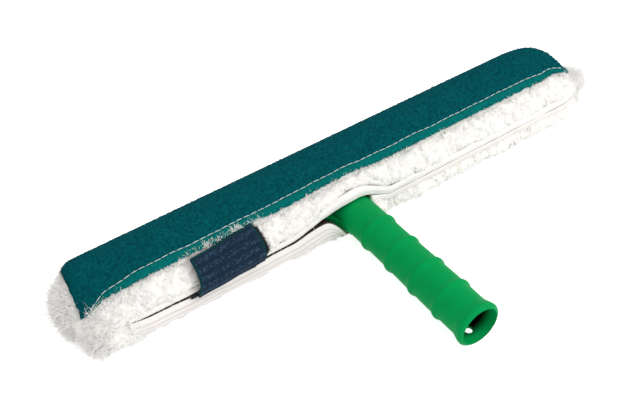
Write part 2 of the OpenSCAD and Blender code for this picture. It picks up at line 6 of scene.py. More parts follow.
import bpy
import numpy as np
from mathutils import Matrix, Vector


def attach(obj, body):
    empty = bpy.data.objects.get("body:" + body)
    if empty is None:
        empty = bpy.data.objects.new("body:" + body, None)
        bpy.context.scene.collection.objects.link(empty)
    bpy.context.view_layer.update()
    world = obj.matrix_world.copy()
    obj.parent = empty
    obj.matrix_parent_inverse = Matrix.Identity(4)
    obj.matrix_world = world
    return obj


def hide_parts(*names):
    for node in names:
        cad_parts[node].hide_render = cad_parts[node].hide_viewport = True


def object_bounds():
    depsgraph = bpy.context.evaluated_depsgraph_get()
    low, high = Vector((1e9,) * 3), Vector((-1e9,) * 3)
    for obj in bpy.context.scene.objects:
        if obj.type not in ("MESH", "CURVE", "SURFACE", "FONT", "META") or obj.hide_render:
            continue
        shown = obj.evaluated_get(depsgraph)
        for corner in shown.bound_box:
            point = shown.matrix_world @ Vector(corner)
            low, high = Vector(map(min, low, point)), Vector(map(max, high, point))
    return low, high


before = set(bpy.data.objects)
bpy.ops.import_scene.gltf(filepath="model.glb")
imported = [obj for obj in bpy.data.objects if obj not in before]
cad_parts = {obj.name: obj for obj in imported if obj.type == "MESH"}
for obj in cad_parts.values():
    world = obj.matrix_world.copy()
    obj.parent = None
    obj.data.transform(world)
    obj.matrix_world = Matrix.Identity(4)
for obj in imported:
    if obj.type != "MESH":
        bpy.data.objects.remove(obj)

Array = np.ndarray
Number = Union[float, Array]
Piece = bpy.types.Object
Tree = bpy.types.NodeTree
Socket = bpy.types.NodeSocket
# Pitch and height of a bump in millimetres, and a shader's settings by name
Bump = Optional[tuple[float, float]]
Shine = tuple[tuple[str, float], ...]

CAD_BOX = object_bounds()
MM = 0.001
# Height of the handle's axis in millimetres
FORM_AXIS = 21.0
log = logging.getLogger("window_scrubber")


class Body(Enum):
    """The two bodies that the peeling strap's hinge joins."""

    TOOL = "t_bar_and_sleeve"
    CLOSURE = "closure"


class Slot(Enum):
    """The record's material slots by name."""

    PLASTIC = "green_plastic"
    STEEL = "steel"
    BACKING = "backing_cloth"
    FLEECE = "fleece"
    PAD = "teal_pad"
    TAPE = "white_tape"
    WEBBING = "navy_webbing"
    HOOK_LOOP = "black_hook_loop"


class Cap(Enum):
    """How the two ends of a lofted skin are closed."""

    STRIP = "strip"
    WHOLE = "whole"


# Curves and noise


def clamp01(t: Number) -> Array:
    """The value held between 0 and 1."""
    return np.clip(t, 0.0, 1.0)


def smooth(t: Number) -> Array:
    """An S-shaped rise: three times the square less twice the cube, from 0 to 1."""
    u = clamp01(t)
    return u * u * (3 - 2 * u)


def rise(t: Number, start: float, span: float) -> Array:
    """An S-shaped rise: 0 up to a start, 1 from a span beyond it."""
    return smooth((t - start) / span)


def fall(t: Number, end: float, span: float) -> Array:
    """An S-shaped fall: 1 up to a span before an end, 0 from there on."""
    return smooth((end - t) / span)


def bell(t: Number, middle: Number, width: float) -> Array:
    """A bell curve: the exponential of less the square of the distance over the width."""
    return np.exp(-(((t - middle) / width) ** 2))


def mix(a: Number, b: Number, t: Number) -> Array:
    """The value at a share t of the way from a to b."""
    return a + (b - a) * t


def signed_pow(v: Array, p: Number) -> Array:
    """The power of a value's size, with its sign kept."""
    return np.sign(v) * np.abs(v) ** p


def unit(v: Array) -> Array:
    """Vectors scaled to a length of one."""
    return v / np.maximum(np.linalg.norm(v, axis=-1, keepdims=True), 1e-9)


def ripples(x: Array, y: Array, pitch: float, seed: int, waves: int = 9) -> Array:
    """Smooth noise from about -1 to 1.

    The sum of sine waves that run in random directions, each with a wavelength
    from 0.6 to 1.8 times the pitch, divided by the root of their number.

    Args:
        x: First coordinate in millimetres.
        y: Second coordinate in millimetres.
        pitch: Typical distance from one swelling to the next, in millimetres.
        seed: Start of the random draw.
        waves: Number of sine waves.

    Returns:
        The noise at each place.
    """
    rng = np.random.default_rng(seed)
    turn = rng.uniform(0, 2 * np.pi, waves)
    start = rng.uniform(0, 2 * np.pi, waves)
    length = pitch * rng.uniform(0.6, 1.8, waves)
    total = np.zeros(np.broadcast(x, y).shape)
    for angle, phase, wave in zip(turn, start, length):
        across = x * np.cos(angle) + y * np.sin(angle)
        total = total + np.sin(2 * np.pi * across / wave + phase)
    return total / np.sqrt(waves)


# Meshes


def faced_outwards(points: Array, faces: Sequence[Array]) -> list[Array]:
    """Faces turned so that the closed skin's volume is positive.

    The volume is a sixth of the sum of the triple products of each face's
    corners, taken as fans of triangles.

    Args:
        points: Corners, one row each.
        faces: Arrays of corner numbers.

    Returns:
        The same faces, all turned round if the volume was negative.
    """
    volume = 0.0
    for face in faces:
        for k in range(1, face.shape[1] - 1):
            a, b, c = (points[face[:, i]] for i in (0, k, k + 1))
            volume += float(np.sum(a * np.cross(b, c)))
    return [face[:, ::-1] for face in faces] if volume < 0 else list(faces)


def make_piece(name: str, points: Array, faces: Sequence[Array], smooth_shaded: bool = True,
               uv: Optional[Array] = None, marks: Optional[dict[str, Array]] = None) -> Piece:
    """An object with its place in its mesh.

    Args:
        name: Name of the piece.
        points: Corners in millimetres, one row each.
        faces: Arrays of corner numbers, one array for each count of corners.
        smooth_shaded: Whether the faces are shaded as one smooth surface.
        uv: Place of each corner on the flat cloth in millimetres, if a weave follows it.
        marks: Values kept for each corner by name, which the materials read.

    Returns:
        The new object, linked to the scene.
    """
    points = np.asarray(points, float).reshape(-1, 3)
    faces = faced_outwards(points, faces)
    loops = np.concatenate([face.ravel() for face in faces]).astype(np.int32)
    sizes = np.concatenate([np.full(len(face), face.shape[1]) for face in faces])
    starts = np.concatenate([[0], np.cumsum(sizes)[:-1]]).astype(np.int32)
    mesh = bpy.data.meshes.new(name)
    mesh.vertices.add(len(points))
    mesh.vertices.foreach_set("co", (points * MM).astype(np.float32).ravel())
    mesh.loops.add(len(loops))
    mesh.loops.foreach_set("vertex_index", loops)
    mesh.polygons.add(len(sizes))
    mesh.polygons.foreach_set("loop_start", starts)
    mesh.polygons.foreach_set("use_smooth", np.full(len(sizes), smooth_shaded))
    mesh.update(calc_edges=True)
    if uv is not None:
        layer = mesh.uv_layers.new(name="cloth")
        layer.data.foreach_set("uv", uv.reshape(-1, 2)[loops].astype(np.float32).ravel())
    for key, values in (marks or {}).items():
        mark = mesh.attributes.new(key, "FLOAT", "POINT")
        mark.data.foreach_set("value", np.asarray(values, np.float32).ravel())
    mesh.validate()
    piece = bpy.data.objects.new(name, mesh)
    bpy.context.scene.collection.objects.link(piece)
    return piece


def loft(loops: Array, cap: Cap) -> list[Array]:
    """Faces of a skin through a row of closed loops of equal length.

    Each pair of neighbouring loops is joined by quads. A strip cap joins the
    loop's first and last half across a band, a whole cap is one polygon.

    Args:
        loops: Corners as (rows, columns, 3).
        cap: How the two ends are closed.

    Returns:
        Arrays of corner numbers.
    """
    rows, cols = loops.shape[:2]
    s, j = np.meshgrid(np.arange(rows - 1), np.arange(cols), indexing="ij")
    a = s * cols + j
    b = s * cols + (j + 1) % cols
    sides = np.stack([a, a + cols, b + cols, b], -1).reshape(-1, 4)
    last = (rows - 1) * cols
    if cap is Cap.WHOLE:
        whole = np.arange(cols)[None]
        return [sides, np.concatenate([whole, last + whole[:, ::-1]])]
    k = np.arange(cols // 2 - 1)
    strip = np.stack([k, k + 1, cols - 2 - k, cols - 1 - k], -1)
    return [np.concatenate([sides, strip, last + strip[:, ::-1]])]


def joined(parts: Sequence[tuple[Array, list[Array]]]) -> tuple[Array, list[Array]]:
    """Several skins as one set of points and faces, each turned outwards first.

    Args:
        parts: The points and the faces of each skin.

    Returns:
        All points, and all faces with their corners counted on from skin to skin.
    """
    points, groups, count = [], {}, 0
    for part, faces in parts:
        part = part.reshape(-1, 3)
        for face in faced_outwards(part, faces):
            groups.setdefault(face.shape[1], []).append(face + count)
        points.append(part)
        count += len(part)
    return np.concatenate(points), [np.concatenate(g) for g in groups.values()]


def grid_normals(points: Array) -> Array:
    """Normals of a grid: the cross product of its steps along rows and columns."""
    return unit(np.cross(np.gradient(points, axis=0), np.gradient(points, axis=1)))


def scatter(points: Array, normals: Array, weight: Array, count: int,
            rng: np.random.Generator) -> tuple[Array, Array]:
    """Random places on a grid, as many on each piece of it as its area times its weight asks.

    Args:
        points: Grid of points in millimetres.
        normals: Normal at each point.
        weight: Density at each point, 0 where nothing grows.
        count: Number of places.
        rng: Source of the random draws.

    Returns:
        The places and their normals.
    """
    a, b, c, d = points[:-1, :-1], points[1:, :-1], points[1:, 1:], points[:-1, 1:]
    area = 0.5 * np.linalg.norm(np.cross(c - a, d - b), axis=-1)
    share = area * np.minimum(np.minimum(weight[:-1, :-1], weight[1:, :-1]),
                              np.minimum(weight[1:, 1:], weight[:-1, 1:]))
    cell = rng.choice(share.size, count, p=share.ravel() / share.sum())
    i, j = np.divmod(cell, share.shape[1])
    u, v = rng.random((2, count, 1))

    def blended(g: Array) -> Array:
        """The grid's value at each random place, from its cell's four corners."""
        return mix(mix(g[i, j], g[i + 1, j], u), mix(g[i, j + 1], g[i + 1, j + 1], u), v)

    return blended(points), unit(blended(normals))


@dataclass(frozen=True)
class Fibre:
    """Sizes of one kind of fibre or lock, in millimetres, and how it stands.

    Attributes:
        length: Mean length.
        spread: Share by which single lengths differ.
        radius: Radius at the root.
        lean: How far the fibres lean with the flow, as a share of their length.
        tangle: How far each one goes its own way.
        droop: How far the tips hang, as a share of the length.
        curl: How far the tips turn back to the cloth, as a share of the length.
        gather: Share by which the tips of a clump draw together.
        clump: Width of a clump.
        rings: Number of rings below the tip.
    """

    length: float
    spread: float
    radius: float
    lean: float
    tangle: float
    droop: float
    curl: float = 0.0
    gather: float = 0.0
    clump: float = 5.0
    rings: int = 3


# Number of sides of a fibre
SIDES = 3
# Farthest that a fibre may reach outside the solids' box, on each side of it
STRAY = np.array([19.0, 13.5, 8.0])
# Lowest that a fibre hangs above the floor
FIBRE_FLOOR = 0.1


def within_reach(points: Array) -> Array:
    """Points held between the floor and the farthest reach of a stray fibre.

    Args:
        points: Places in millimetres.

    Returns:
        The places, with those beyond the reach moved back to it.
    """
    low, high = (np.array(corner) / MM for corner in CAD_BOX)
    low, high = low - STRAY, high + STRAY
    low[2] = FIBRE_FLOOR
    return np.clip(points, low, high)


def circle(side: Array, up: Array, turn: Array) -> Array:
    """Directions round a line: its side times the cosine of a turn plus its way up times the sine."""
    return side[..., None, :] * np.cos(turn)[:, None] + up[..., None, :] * np.sin(turn)[:, None]


def grow(name: str, roots: Array, normals: Array, fibre: Fibre, seed: int,
         lengths: Number = 1.0, flow: Optional[Array] = None, widths: Number = 1.0) -> Piece:
    """Tapered, curved fibres as one mesh.

    A fibre's middle line at a share t of its length is the root, plus t times
    its first direction, plus the square of t times its bend. The bend is the
    droop and the curl back to the cloth, with a share of the way to the mean
    tip of its clump. Each fibre is three-sided with one flat side outwards.

    Args:
        name: Name of the piece.
        roots: Place of each root in millimetres.
        normals: Direction in which each fibre leaves the cloth.
        fibre: Sizes of the fibre.
        seed: Start of the random draws.
        lengths: Factor on each fibre's length.
        flow: Direction in which the fibres are combed, one for each or one for all.
        widths: Factor on each fibre's radius.

    Returns:
        The fibres' object.
    """
    rng = np.random.default_rng(seed)
    count = len(roots)
    size = fibre.length * lengths * (1 + fibre.spread * rng.uniform(-1, 1, count))
    comb = np.zeros(3) if flow is None else flow
    first = unit(normals + fibre.lean * comb + fibre.tangle * rng.normal(0, 1, (count, 3)))
    ahead = first * size[:, None]
    bend = np.array([0, 0, -fibre.droop]) - fibre.curl * normals
    bend = (bend + fibre.tangle * rng.normal(0, 0.5, (count, 3))) * size[:, None]
    tips = roots + ahead + bend
    if fibre.gather:
        key = np.floor(roots / fibre.clump + 0.25 * rng.normal(0, 1, roots.shape)).astype(int)
        _, clump = np.unique(key, axis=0, return_inverse=True)
        clump = clump.reshape(-1)
        number = np.bincount(clump)
        middle = np.stack([np.bincount(clump, tips[:, k]) / number for k in range(3)], -1)[clump]
        bend = bend + (middle - tips) * fibre.gather * rng.uniform(0.5, 1.0, (count, 1))
    side = unit(np.cross(first, normals + 0.3 * rng.normal(0, 1, (count, 3))))
    flat_side_out = np.pi / 6
    around = circle(side, np.cross(side, first), flat_side_out + 2 * np.pi * np.arange(SIDES) / SIDES)
    share = np.arange(fibre.rings) / fibre.rings
    width = fibre.radius * np.broadcast_to(widths, count)[:, None] * np.sqrt(1 - share**2)
    line = roots[:, None] + ahead[:, None] * share[None, :, None] + bend[:, None] * (share**2)[None, :, None]
    rings = line[:, :, None] + width[:, :, None, None] * around[:, None]
    points = np.concatenate([rings.reshape(count, -1, 3), (roots + ahead + bend)[:, None]], 1)
    points = within_reach(points)
    per = fibre.rings * SIDES + 1
    quads = np.array([[r * SIDES + k, r * SIDES + (k + 1) % SIDES, (r + 1) * SIDES + (k + 1) % SIDES,
                       (r + 1) * SIDES + k] for r in range(fibre.rings - 1) for k in range(SIDES)])
    top = (fibre.rings - 1) * SIDES
    ends = np.array([[top + k, top + (k + 1) % SIDES, per - 1] for k in range(SIDES)] + [[2, 1, 0]])
    base = np.arange(count)[:, None, None] * per
    return make_piece(name, points.reshape(-1, 3),
                      [(base + quads).reshape(-1, 4), (base + ends).reshape(-1, 3)], smooth_shaded=False)


def threads(name: str, path: Array, normals: Array, stitch: float, gap: float, radius: float) -> Piece:
    """A row of sewn stitches along a line.

    Each stitch is a bead that rises out of the cloth and dips back into it: its
    height above the line is the sine of the way along it.

    Args:
        name: Name of the piece.
        path: Points of the sewn line in millimetres, close together.
        normals: Direction out of the cloth at each point.
        stitch: Length of one stitch.
        gap: Distance from one stitch to the next.
        radius: Radius of the thread.

    Returns:
        The stitches' object.
    """
    step = np.linalg.norm(np.diff(path, axis=0), axis=1)
    along = np.concatenate([[0], np.cumsum(step)])
    count = int(along[-1] // (stitch + gap))
    share = np.linspace(0, 1, 6)
    where = (np.arange(count) * (stitch + gap))[:, None] + share[None] * stitch
    line = np.stack([np.interp(where, along, path[:, k]) for k in range(3)], -1)
    out = unit(np.stack([np.interp(where, along, normals[:, k]) for k in range(3)], -1))
    line = line + out * (radius * (1.6 * np.sin(np.pi * share) - 0.6))[None, :, None]
    ahead = unit(np.gradient(line, axis=1))
    side = unit(np.cross(ahead, out))
    around = circle(side, np.cross(side, ahead), 2 * np.pi * np.arange(6) / 6)
    wide = radius * np.sqrt(clamp01(1 - (2 * share - 1) ** 4) + 0.08)
    rings = line[:, :, None] + wide[None, :, None, None] * around
    return make_piece(name, *joined([(ring, loft(ring, Cap.WHOLE)) for ring in rings]))


# Finishes


def linear(code: str) -> tuple[float, float, float, float]:
    """An sRGB hex code as linear light.

    Args:
        code: A hash and six hex digits.

    Returns:
        Red, green, blue and alpha.
    """
    c = np.array([int(code[i:i + 2], 16) for i in (1, 3, 5)]) / 255
    c = np.where(c <= 0.04045, c / 12.92, ((c + 0.055) / 1.055) ** 2.4)
    return (*c.tolist(), 1.0)


def add_node(tree: Tree, kind: str, settings: Optional[dict] = None,
             links: Optional[dict] = None) -> bpy.types.Node:
    """A shader node with its settings and links.

    Args:
        tree: The material's nodes.
        kind: Blender's name of the node.
        settings: Values by property, socket name or socket number.
        links: Output sockets by the name or number of the input that they feed.

    Returns:
        The node.
    """
    node = tree.nodes.new(kind)
    for key, value in (settings or {}).items():
        if isinstance(key, str) and hasattr(node, key):
            setattr(node, key, value)
        else:
            node.inputs[key].default_value = value
    for key, socket in (links or {}).items():
        tree.links.new(socket, node.inputs[key])
    return node


class Finish:
    """A material that is built once and then shared by its pieces."""

    made: dict[str, bpy.types.Material] = {}

    def material(self) -> bpy.types.Material:
        """The finish as a material of Blender.

        Returns:
            The material, built at the first call and the same one after that.
        """
        name = type(self).__name__
        if name not in Finish.made:
            found = bpy.data.materials.new(name)
            found.use_nodes = True
            found.node_tree.nodes.clear()
            shader = self.shade(found.node_tree)
            add_node(found.node_tree, "ShaderNodeOutputMaterial", links={"Surface": shader})
            Finish.made[name] = found
        return Finish.made[name]

    def shade(self, tree: Tree) -> Socket:
        """Builds the finish's nodes.

        Args:
            tree: The material's nodes.

        Returns:
            The last shader's output.
        """
        raise NotImplementedError

    def dress(self, piece: Piece) -> None:
        """Gives a piece this finish in all its slots."""
        piece.data.materials.clear()
        piece.data.materials.append(self.material())


def swellings(tree: Tree, pitch: float, detail: float) -> Socket:
    """Smooth noise from 0 to 1 over a piece, with a pitch in millimetres and finer layers by their number."""
    spot = add_node(tree, "ShaderNodeTexCoord").outputs["Object"]
    settings = {"Scale": 1 / (pitch * MM), "Detail": detail}
    return add_node(tree, "ShaderNodeTexNoise", settings, {"Vector": spot}).outputs["Fac"]


def blotches(tree: Tree, first: str, second: str, pitch: float, detail: float = 2.0,
             sharp: float = 0.25) -> Socket:
    """A colour that drifts between two hex codes with smooth noise.

    Args:
        tree: The material's nodes.
        first, second: Colours where the noise is low and where it is high.
        pitch: Size of a blotch in millimetres.
        detail: Number of finer layers of noise.
        sharp: Half of the range of noise over which one colour turns into the other.

    Returns:
        The colour's socket.
    """
    share = add_node(tree, "ShaderNodeMapRange", {"From Min": 0.5 - sharp, "From Max": 0.5 + sharp},
                     {"Value": swellings(tree, pitch, detail)})
    return add_node(tree, "ShaderNodeMix", {"data_type": "RGBA", 6: linear(first), 7: linear(second)},
                    {0: share.outputs["Result"]}).outputs[2]


def rough(tree: Tree, pitch: float, height: float, detail: float = 3.0) -> Socket:
    """A bump from smooth noise.

    Args:
        tree: The material's nodes.
        pitch: Size of one bump in millimetres.
        height: Height of the bumps in millimetres.
        detail: Number of finer layers of noise.

    Returns:
        The normal's socket.
    """
    return add_node(tree, "ShaderNodeBump", {"Strength": 1.0, "Distance": height * MM},
                    {"Height": swellings(tree, pitch, detail)}).outputs["Normal"]


@dataclass(frozen=True)
class TwoToned(Finish):
    """A finish whose colour drifts between two tones over a fine bump.

    Attributes:
        first, second: The two tones.
        drift: Size of their blotches in millimetres.
        detail: Number of finer layers of noise in them.
        bump: Size and height of the bumps in millimetres, where it has any.
        shine: The shader's other settings.
    """

    first: str = "#ffffff"
    second: str = "#ffffff"
    drift: float = 1.0
    detail: float = 2.0
    bump: Bump = None
    shine: Shine = ()

    def colour(self, tree: Tree) -> Socket:
        """A drift of the two tones."""
        return blotches(tree, self.first, self.second, self.drift, self.detail)

    def shade(self, tree: Tree) -> Socket:
        """The colour, over the bump where there is one, with the finish's settings."""
        links = {"Normal": rough(tree, *self.bump)} if self.bump else {}
        links["Base Color"] = self.colour(tree)
        return add_node(tree, "ShaderNodeBsdfPrincipled", dict(self.shine), links).outputs["BSDF"]


@dataclass(frozen=True)
class KnittedPileFibre(TwoToned):
    """Acrylic pile, spun and sheared: soft white locks with a velvety edge and a faint drift of tone."""

    first: str = "#fffefa"
    second: str = "#fdfbfa"
    drift: float = 14.0
    shine: Shine = (("Roughness", 0.95), ("Sheen Weight", 0.2),
                    ("Sheen Roughness", 0.6), ("Specular IOR Level", 0.1))


@dataclass(frozen=True)
class PileGround(TwoToned):
    """The pressed acrylic underlayer, seen only between the locks: crushed tufts, 1.6 mm apart."""

    first: str = "#fefbf5"
    second: str = "#fbf7f3"
    drift: float = 6.0
    bump: Bump = (1.6, 0.35)
    shine: Shine = (("Roughness", 1.0), ("Specular IOR Level", 0.1))


@dataclass(frozen=True)
class NonWovenAbrasive(Finish):
    """Needled nylon web bonded with grit: dark teal, matt, with a fine speckle of fibres.

    The compressed margin outside the seam shows more of the bright fibre.
    """

    deep: str = "#003a42"
    bright: str = "#036067"
    margin: str = "#05796e"
    speckle: float = 2.2

    def shade(self, tree: Tree) -> Socket:
        """Speckles of two teals, lighter where the margin mark is 1, over a fibrous bump.

        Args:
            tree: The material's nodes.

        Returns:
            The shader's output.
        """
        body = blotches(tree, self.deep, self.bright, self.speckle, 4.0)
        light = blotches(tree, self.bright, self.margin, self.speckle, 4.0, sharp=0.35)
        mark = add_node(tree, "ShaderNodeAttribute", {"attribute_name": "margin"})
        colour = add_node(tree, "ShaderNodeMix", {"data_type": "RGBA"},
                          {0: mark.outputs["Fac"], 6: body, 7: light})
        needled = rough(tree, 0.9, 0.5, 5.0)
        return add_node(tree, "ShaderNodeBsdfPrincipled", {"Roughness": 1.0, "Specular IOR Level": 0.04},
                        {"Base Color": colour.outputs[2], "Normal": needled}).outputs["BSDF"]


@dataclass(frozen=True)
class FilamentTape(Finish):
    """Smooth polyester binding tape, woven: a soft white with fine cross ribs 0.6 mm apart.

    Grey shade is painted along its pressed creases and, growing, towards the lower tape's lower edge, and
    dark brown shade is painted on its folded inner side, which shows only as the slit's line.
    """

    warm: str = "#faf8f4"
    cool: str = "#f3efec"
    # Grey of the shade painted along the pressed creases
    crease_shade: str = "#d8d0cc"
    # Dark brown painted on the folded inner side as the shade in the slit
    inside: str = "#3a2d26"
    rib: float = 0.6

    def shade(self, tree: Tree) -> Socket:
        """Clean white over faint ribs that run across the tape.

        Args:
            tree: The material's nodes.

        Returns:
            The shader's output.
        """
        spot = add_node(tree, "ShaderNodeTexCoord").outputs["UV"]
        ribs = add_node(tree, "ShaderNodeTexWave",
                        {"wave_type": "BANDS", "bands_direction": "X", "Scale": np.pi / (10 * self.rib),
                         "Distortion": 0.4}, {"Vector": spot})
        bump = add_node(tree, "ShaderNodeBump", {"Strength": 0.5, "Distance": 0.08 * MM},
                        {"Height": ribs.outputs["Fac"]})
        colour = blotches(tree, self.warm, self.cool, 9.0)
        # The worn mark paints the creases' grey shade, the fold mark the dark shade of the slit's line
        for name, tone in (("worn", self.crease_shade), ("fold", self.inside)):
            mark = add_node(tree, "ShaderNodeAttribute", {"attribute_name": name})
            colour = add_node(tree, "ShaderNodeMix", {"data_type": "RGBA", 7: linear(tone)},
                              {0: mark.outputs["Fac"], 6: colour}).outputs[2]
        return add_node(tree, "ShaderNodeBsdfPrincipled", {"Roughness": 0.62, "Specular IOR Level": 0.2},
                        {"Base Color": colour, "Normal": bump.outputs["Normal"]}).outputs["BSDF"]


@dataclass(frozen=True)
class JacquardWebbing(Finish):
    """Narrow polyester webbing, woven on a needle loom: navy ground, dark teal selvedges.

    Threads cross every 0.9 mm, drawn half again as coarse so that they show.
    Pale slubs lie in soft rows 6.5 mm apart, where the webbing's weave is raised.
    """

    ground: str = "#0c2034"
    thread: str = "#30475b"
    selvedge: str = "#06363b"
    pitch: float = 1.5
    row: float = 6.5
    slub: float = 1.7

    def shade(self, tree: Tree) -> Socket:
        """Warp and weft bands laid over each other, with the edge mark turned to the selvedge's colour.

        Args:
            tree: The material's nodes.

        Returns:
            The shader's output.
        """
        spot = add_node(tree, "ShaderNodeTexCoord").outputs["UV"]
        bands = [add_node(tree, "ShaderNodeTexWave",
                          {"wave_type": "BANDS", "bands_direction": axis, "Scale": np.pi / (10 * self.pitch),
                           "Distortion": 1.2, "Detail": 2.0, "Detail Scale": 1.5}, {"Vector": spot})
                 for axis in ("X", "Y")]
        weave = add_node(tree, "ShaderNodeMath", {"operation": "MULTIPLY"},
                         {0: bands[0].outputs["Fac"], 1: bands[1].outputs["Fac"]})
        rows = add_node(tree, "ShaderNodeTexWave",
                        {"wave_type": "BANDS", "bands_direction": "Y", "Scale": np.pi / (10 * self.row),
                         "Distortion": 0.6}, {"Vector": spot})
        worn = add_node(tree, "ShaderNodeMapRange", {"From Min": 0.47, "From Max": 0.6},
                        {"Value": swellings(tree, self.slub, 3.0)})
        raised = add_node(tree, "ShaderNodeMath", {"operation": "MULTIPLY"},
                          {0: worn.outputs["Result"], 1: rows.outputs["Fac"]})
        share = add_node(tree, "ShaderNodeMath", {"operation": "MULTIPLY_ADD", 1: 0.45},
                         {0: weave.outputs["Value"], 2: raised.outputs["Value"]})
        ground = add_node(tree, "ShaderNodeMix",
                          {"data_type": "RGBA", 6: linear(self.ground), 7: linear(self.thread)},
                          {0: share.outputs["Value"]})
        mark = add_node(tree, "ShaderNodeAttribute", {"attribute_name": "edge"})
        colour = add_node(tree, "ShaderNodeMix", {"data_type": "RGBA", 7: linear(self.selvedge)},
                          {0: mark.outputs["Fac"], 6: ground.outputs[2]})
        bump = add_node(tree, "ShaderNodeBump", {"Strength": 0.8, "Distance": 0.25 * MM},
                        {"Height": weave.outputs["Value"]})
        return add_node(tree, "ShaderNodeBsdfPrincipled", {"Roughness": 0.85, "Specular IOR Level": 0.12},
                        {"Base Color": colour.outputs[2], "Normal": bump.outputs["Normal"]}).outputs["BSDF"]


@dataclass(frozen=True)
class NylonHookAndLoop(TwoToned):
    """Black nylon touch fastener, knitted and napped: a dull black with fuzzy points 0.8 mm apart."""

    first: str = "#111214"
    second: str = "#2a2c30"
    drift: float = 0.8
    detail: float = 3.0
    bump: Bump = (0.8, 0.4)
    shine: Shine = (("Roughness", 0.85), ("Specular IOR Level", 0.3), ("Sheen Weight", 0.2))


@dataclass(frozen=True)
class MouldedPolypropylene(TwoToned):
    """Injection-moulded polypropylene, coloured through: a satin mid green with a fine orange peel."""

    first: str = "#00984f"
    second: str = "#00914a"
    drift: float = 30.0
    bump: Bump = (1.1, 0.012)
    shine: Shine = (("Roughness", 0.5), ("IOR", 1.49), ("Specular IOR Level", 0.04))


@dataclass(frozen=True)
class SocketShadedPolypropylene(MouldedPolypropylene):
    """The same moulded polypropylene, with dark brown shade painted inside the pole socket.

    Attributes:
        worn: Colour of the shade painted inside the socket.
        bore: Distance from the handle's axis within which it counts as inside.
        from_y: Place along the handle at which the dark begins.
        over: Length over which it comes up to full.
        floor_y: Place behind which nothing is dark.
    """

    # Painted shade: worn is the near-black colour that stands for the shadow deep in the socket
    worn: str = "#0c0a06"
    bore: float = 14.0
    from_y: float = -181.5
    over: float = 7.0
    floor_y: float = -80.0

    def colour(self, tree: Tree) -> Socket:
        """The two greens, with dark shade painted inside the bore over its first stretch.

        Args:
            tree: The material's nodes.

        Returns:
            The colour's socket.
        """
        spot = add_node(tree, "ShaderNodeTexCoord").outputs["Object"]
        flat = add_node(tree, "ShaderNodeVectorMath", {"operation": "MULTIPLY", 1: (1, 0, 1)}, {0: spot})
        out = add_node(tree, "ShaderNodeVectorMath", {"operation": "DISTANCE", 1: (0, 0, FORM_AXIS * MM)},
                       {0: flat.outputs["Vector"]})
        within = add_node(tree, "ShaderNodeMath", {"operation": "LESS_THAN", 1: self.bore * MM},
                          {0: out.outputs["Value"]})
        along = add_node(tree, "ShaderNodeSeparateXYZ", links={"Vector": spot})
        deep = add_node(tree, "ShaderNodeMapRange",
                        {"From Min": self.from_y * MM, "From Max": (self.from_y + self.over) * MM},
                        {"Value": along.outputs["Y"]})
        before = add_node(tree, "ShaderNodeMath", {"operation": "LESS_THAN", 1: self.floor_y * MM},
                          {0: along.outputs["Y"]})
        inside = add_node(tree, "ShaderNodeMath", {"operation": "MULTIPLY"},
                          {0: within.outputs["Value"], 1: before.outputs["Value"]})
        share = add_node(tree, "ShaderNodeMath", {"operation": "MULTIPLY"},
                         {0: inside.outputs["Value"], 1: deep.outputs["Result"]})
        # Paints the socket's shade: the share mixes the green towards the worn colour inside the bore
        return add_node(tree, "ShaderNodeMix", {"data_type": "RGBA", 7: linear(self.worn)},
                        {0: share.outputs["Value"], 6: super().colour(tree)}).outputs[2]


@dataclass(frozen=True)
class ZincPlatedSteel(TwoToned):
    """Zinc-plated steel screws, cold formed: a pale metal with a soft shine whose tone drifts over 2 mm."""

    first: str = "#c8cacd"
    second: str = "#a9adb2"
    drift: float = 2.0
    bump: Bump = (0.5, 0.01)
    shine: Shine = (("Metallic", 1.0), ("Roughness", 0.38))


@dataclass(frozen=True)
class LiningWeave(TwoToned):
    """Woven polyester ground of the pile cloth, matt, with threads 1 mm apart; its dark grey-brown is painted
    shade for the inside of the pocket.
    """

    # Dark grey-brown tones that paint the shade inside the pocket
    first: str = "#6d5e53"
    second: str = "#4c4038"
    bump: Bump = (1.0, 0.2)
    shine: Shine = (("Roughness", 0.9), ("Specular IOR Level", 0.2))


@dataclass(frozen=True)
class PolyesterThread(TwoToned):
    """Twisted polyester sewing thread: nearly white, with a pale blue-green cast and a twist 0.7 mm long."""

    first: str = "#f4fbfa"
    second: str = "#cfe4e2"
    drift: float = 0.7
    shine: Shine = (("Roughness", 0.6), ("Specular IOR Level", 0.35))


def place(piece: Piece, body: Body, finish: Finish, stands_for: Sequence[str] = ()) -> Piece:
    """Dresses a piece, lets it ride on its body and reports it.

    Args:
        piece: The finished object.
        body: The body that it moves with.
        finish: Its material.
        stands_for: CAD nodes that it takes the place of.

    Returns:
        The same piece.
    """
    finish.dress(piece)
    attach(piece, body.value)
    if stands_for:
        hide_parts(*stands_for)
    log.info("%s: %d faces, rides on %s", piece.name, len(piece.data.polygons), body.value)
    return piece


# Shapes that the sleeve's pieces share


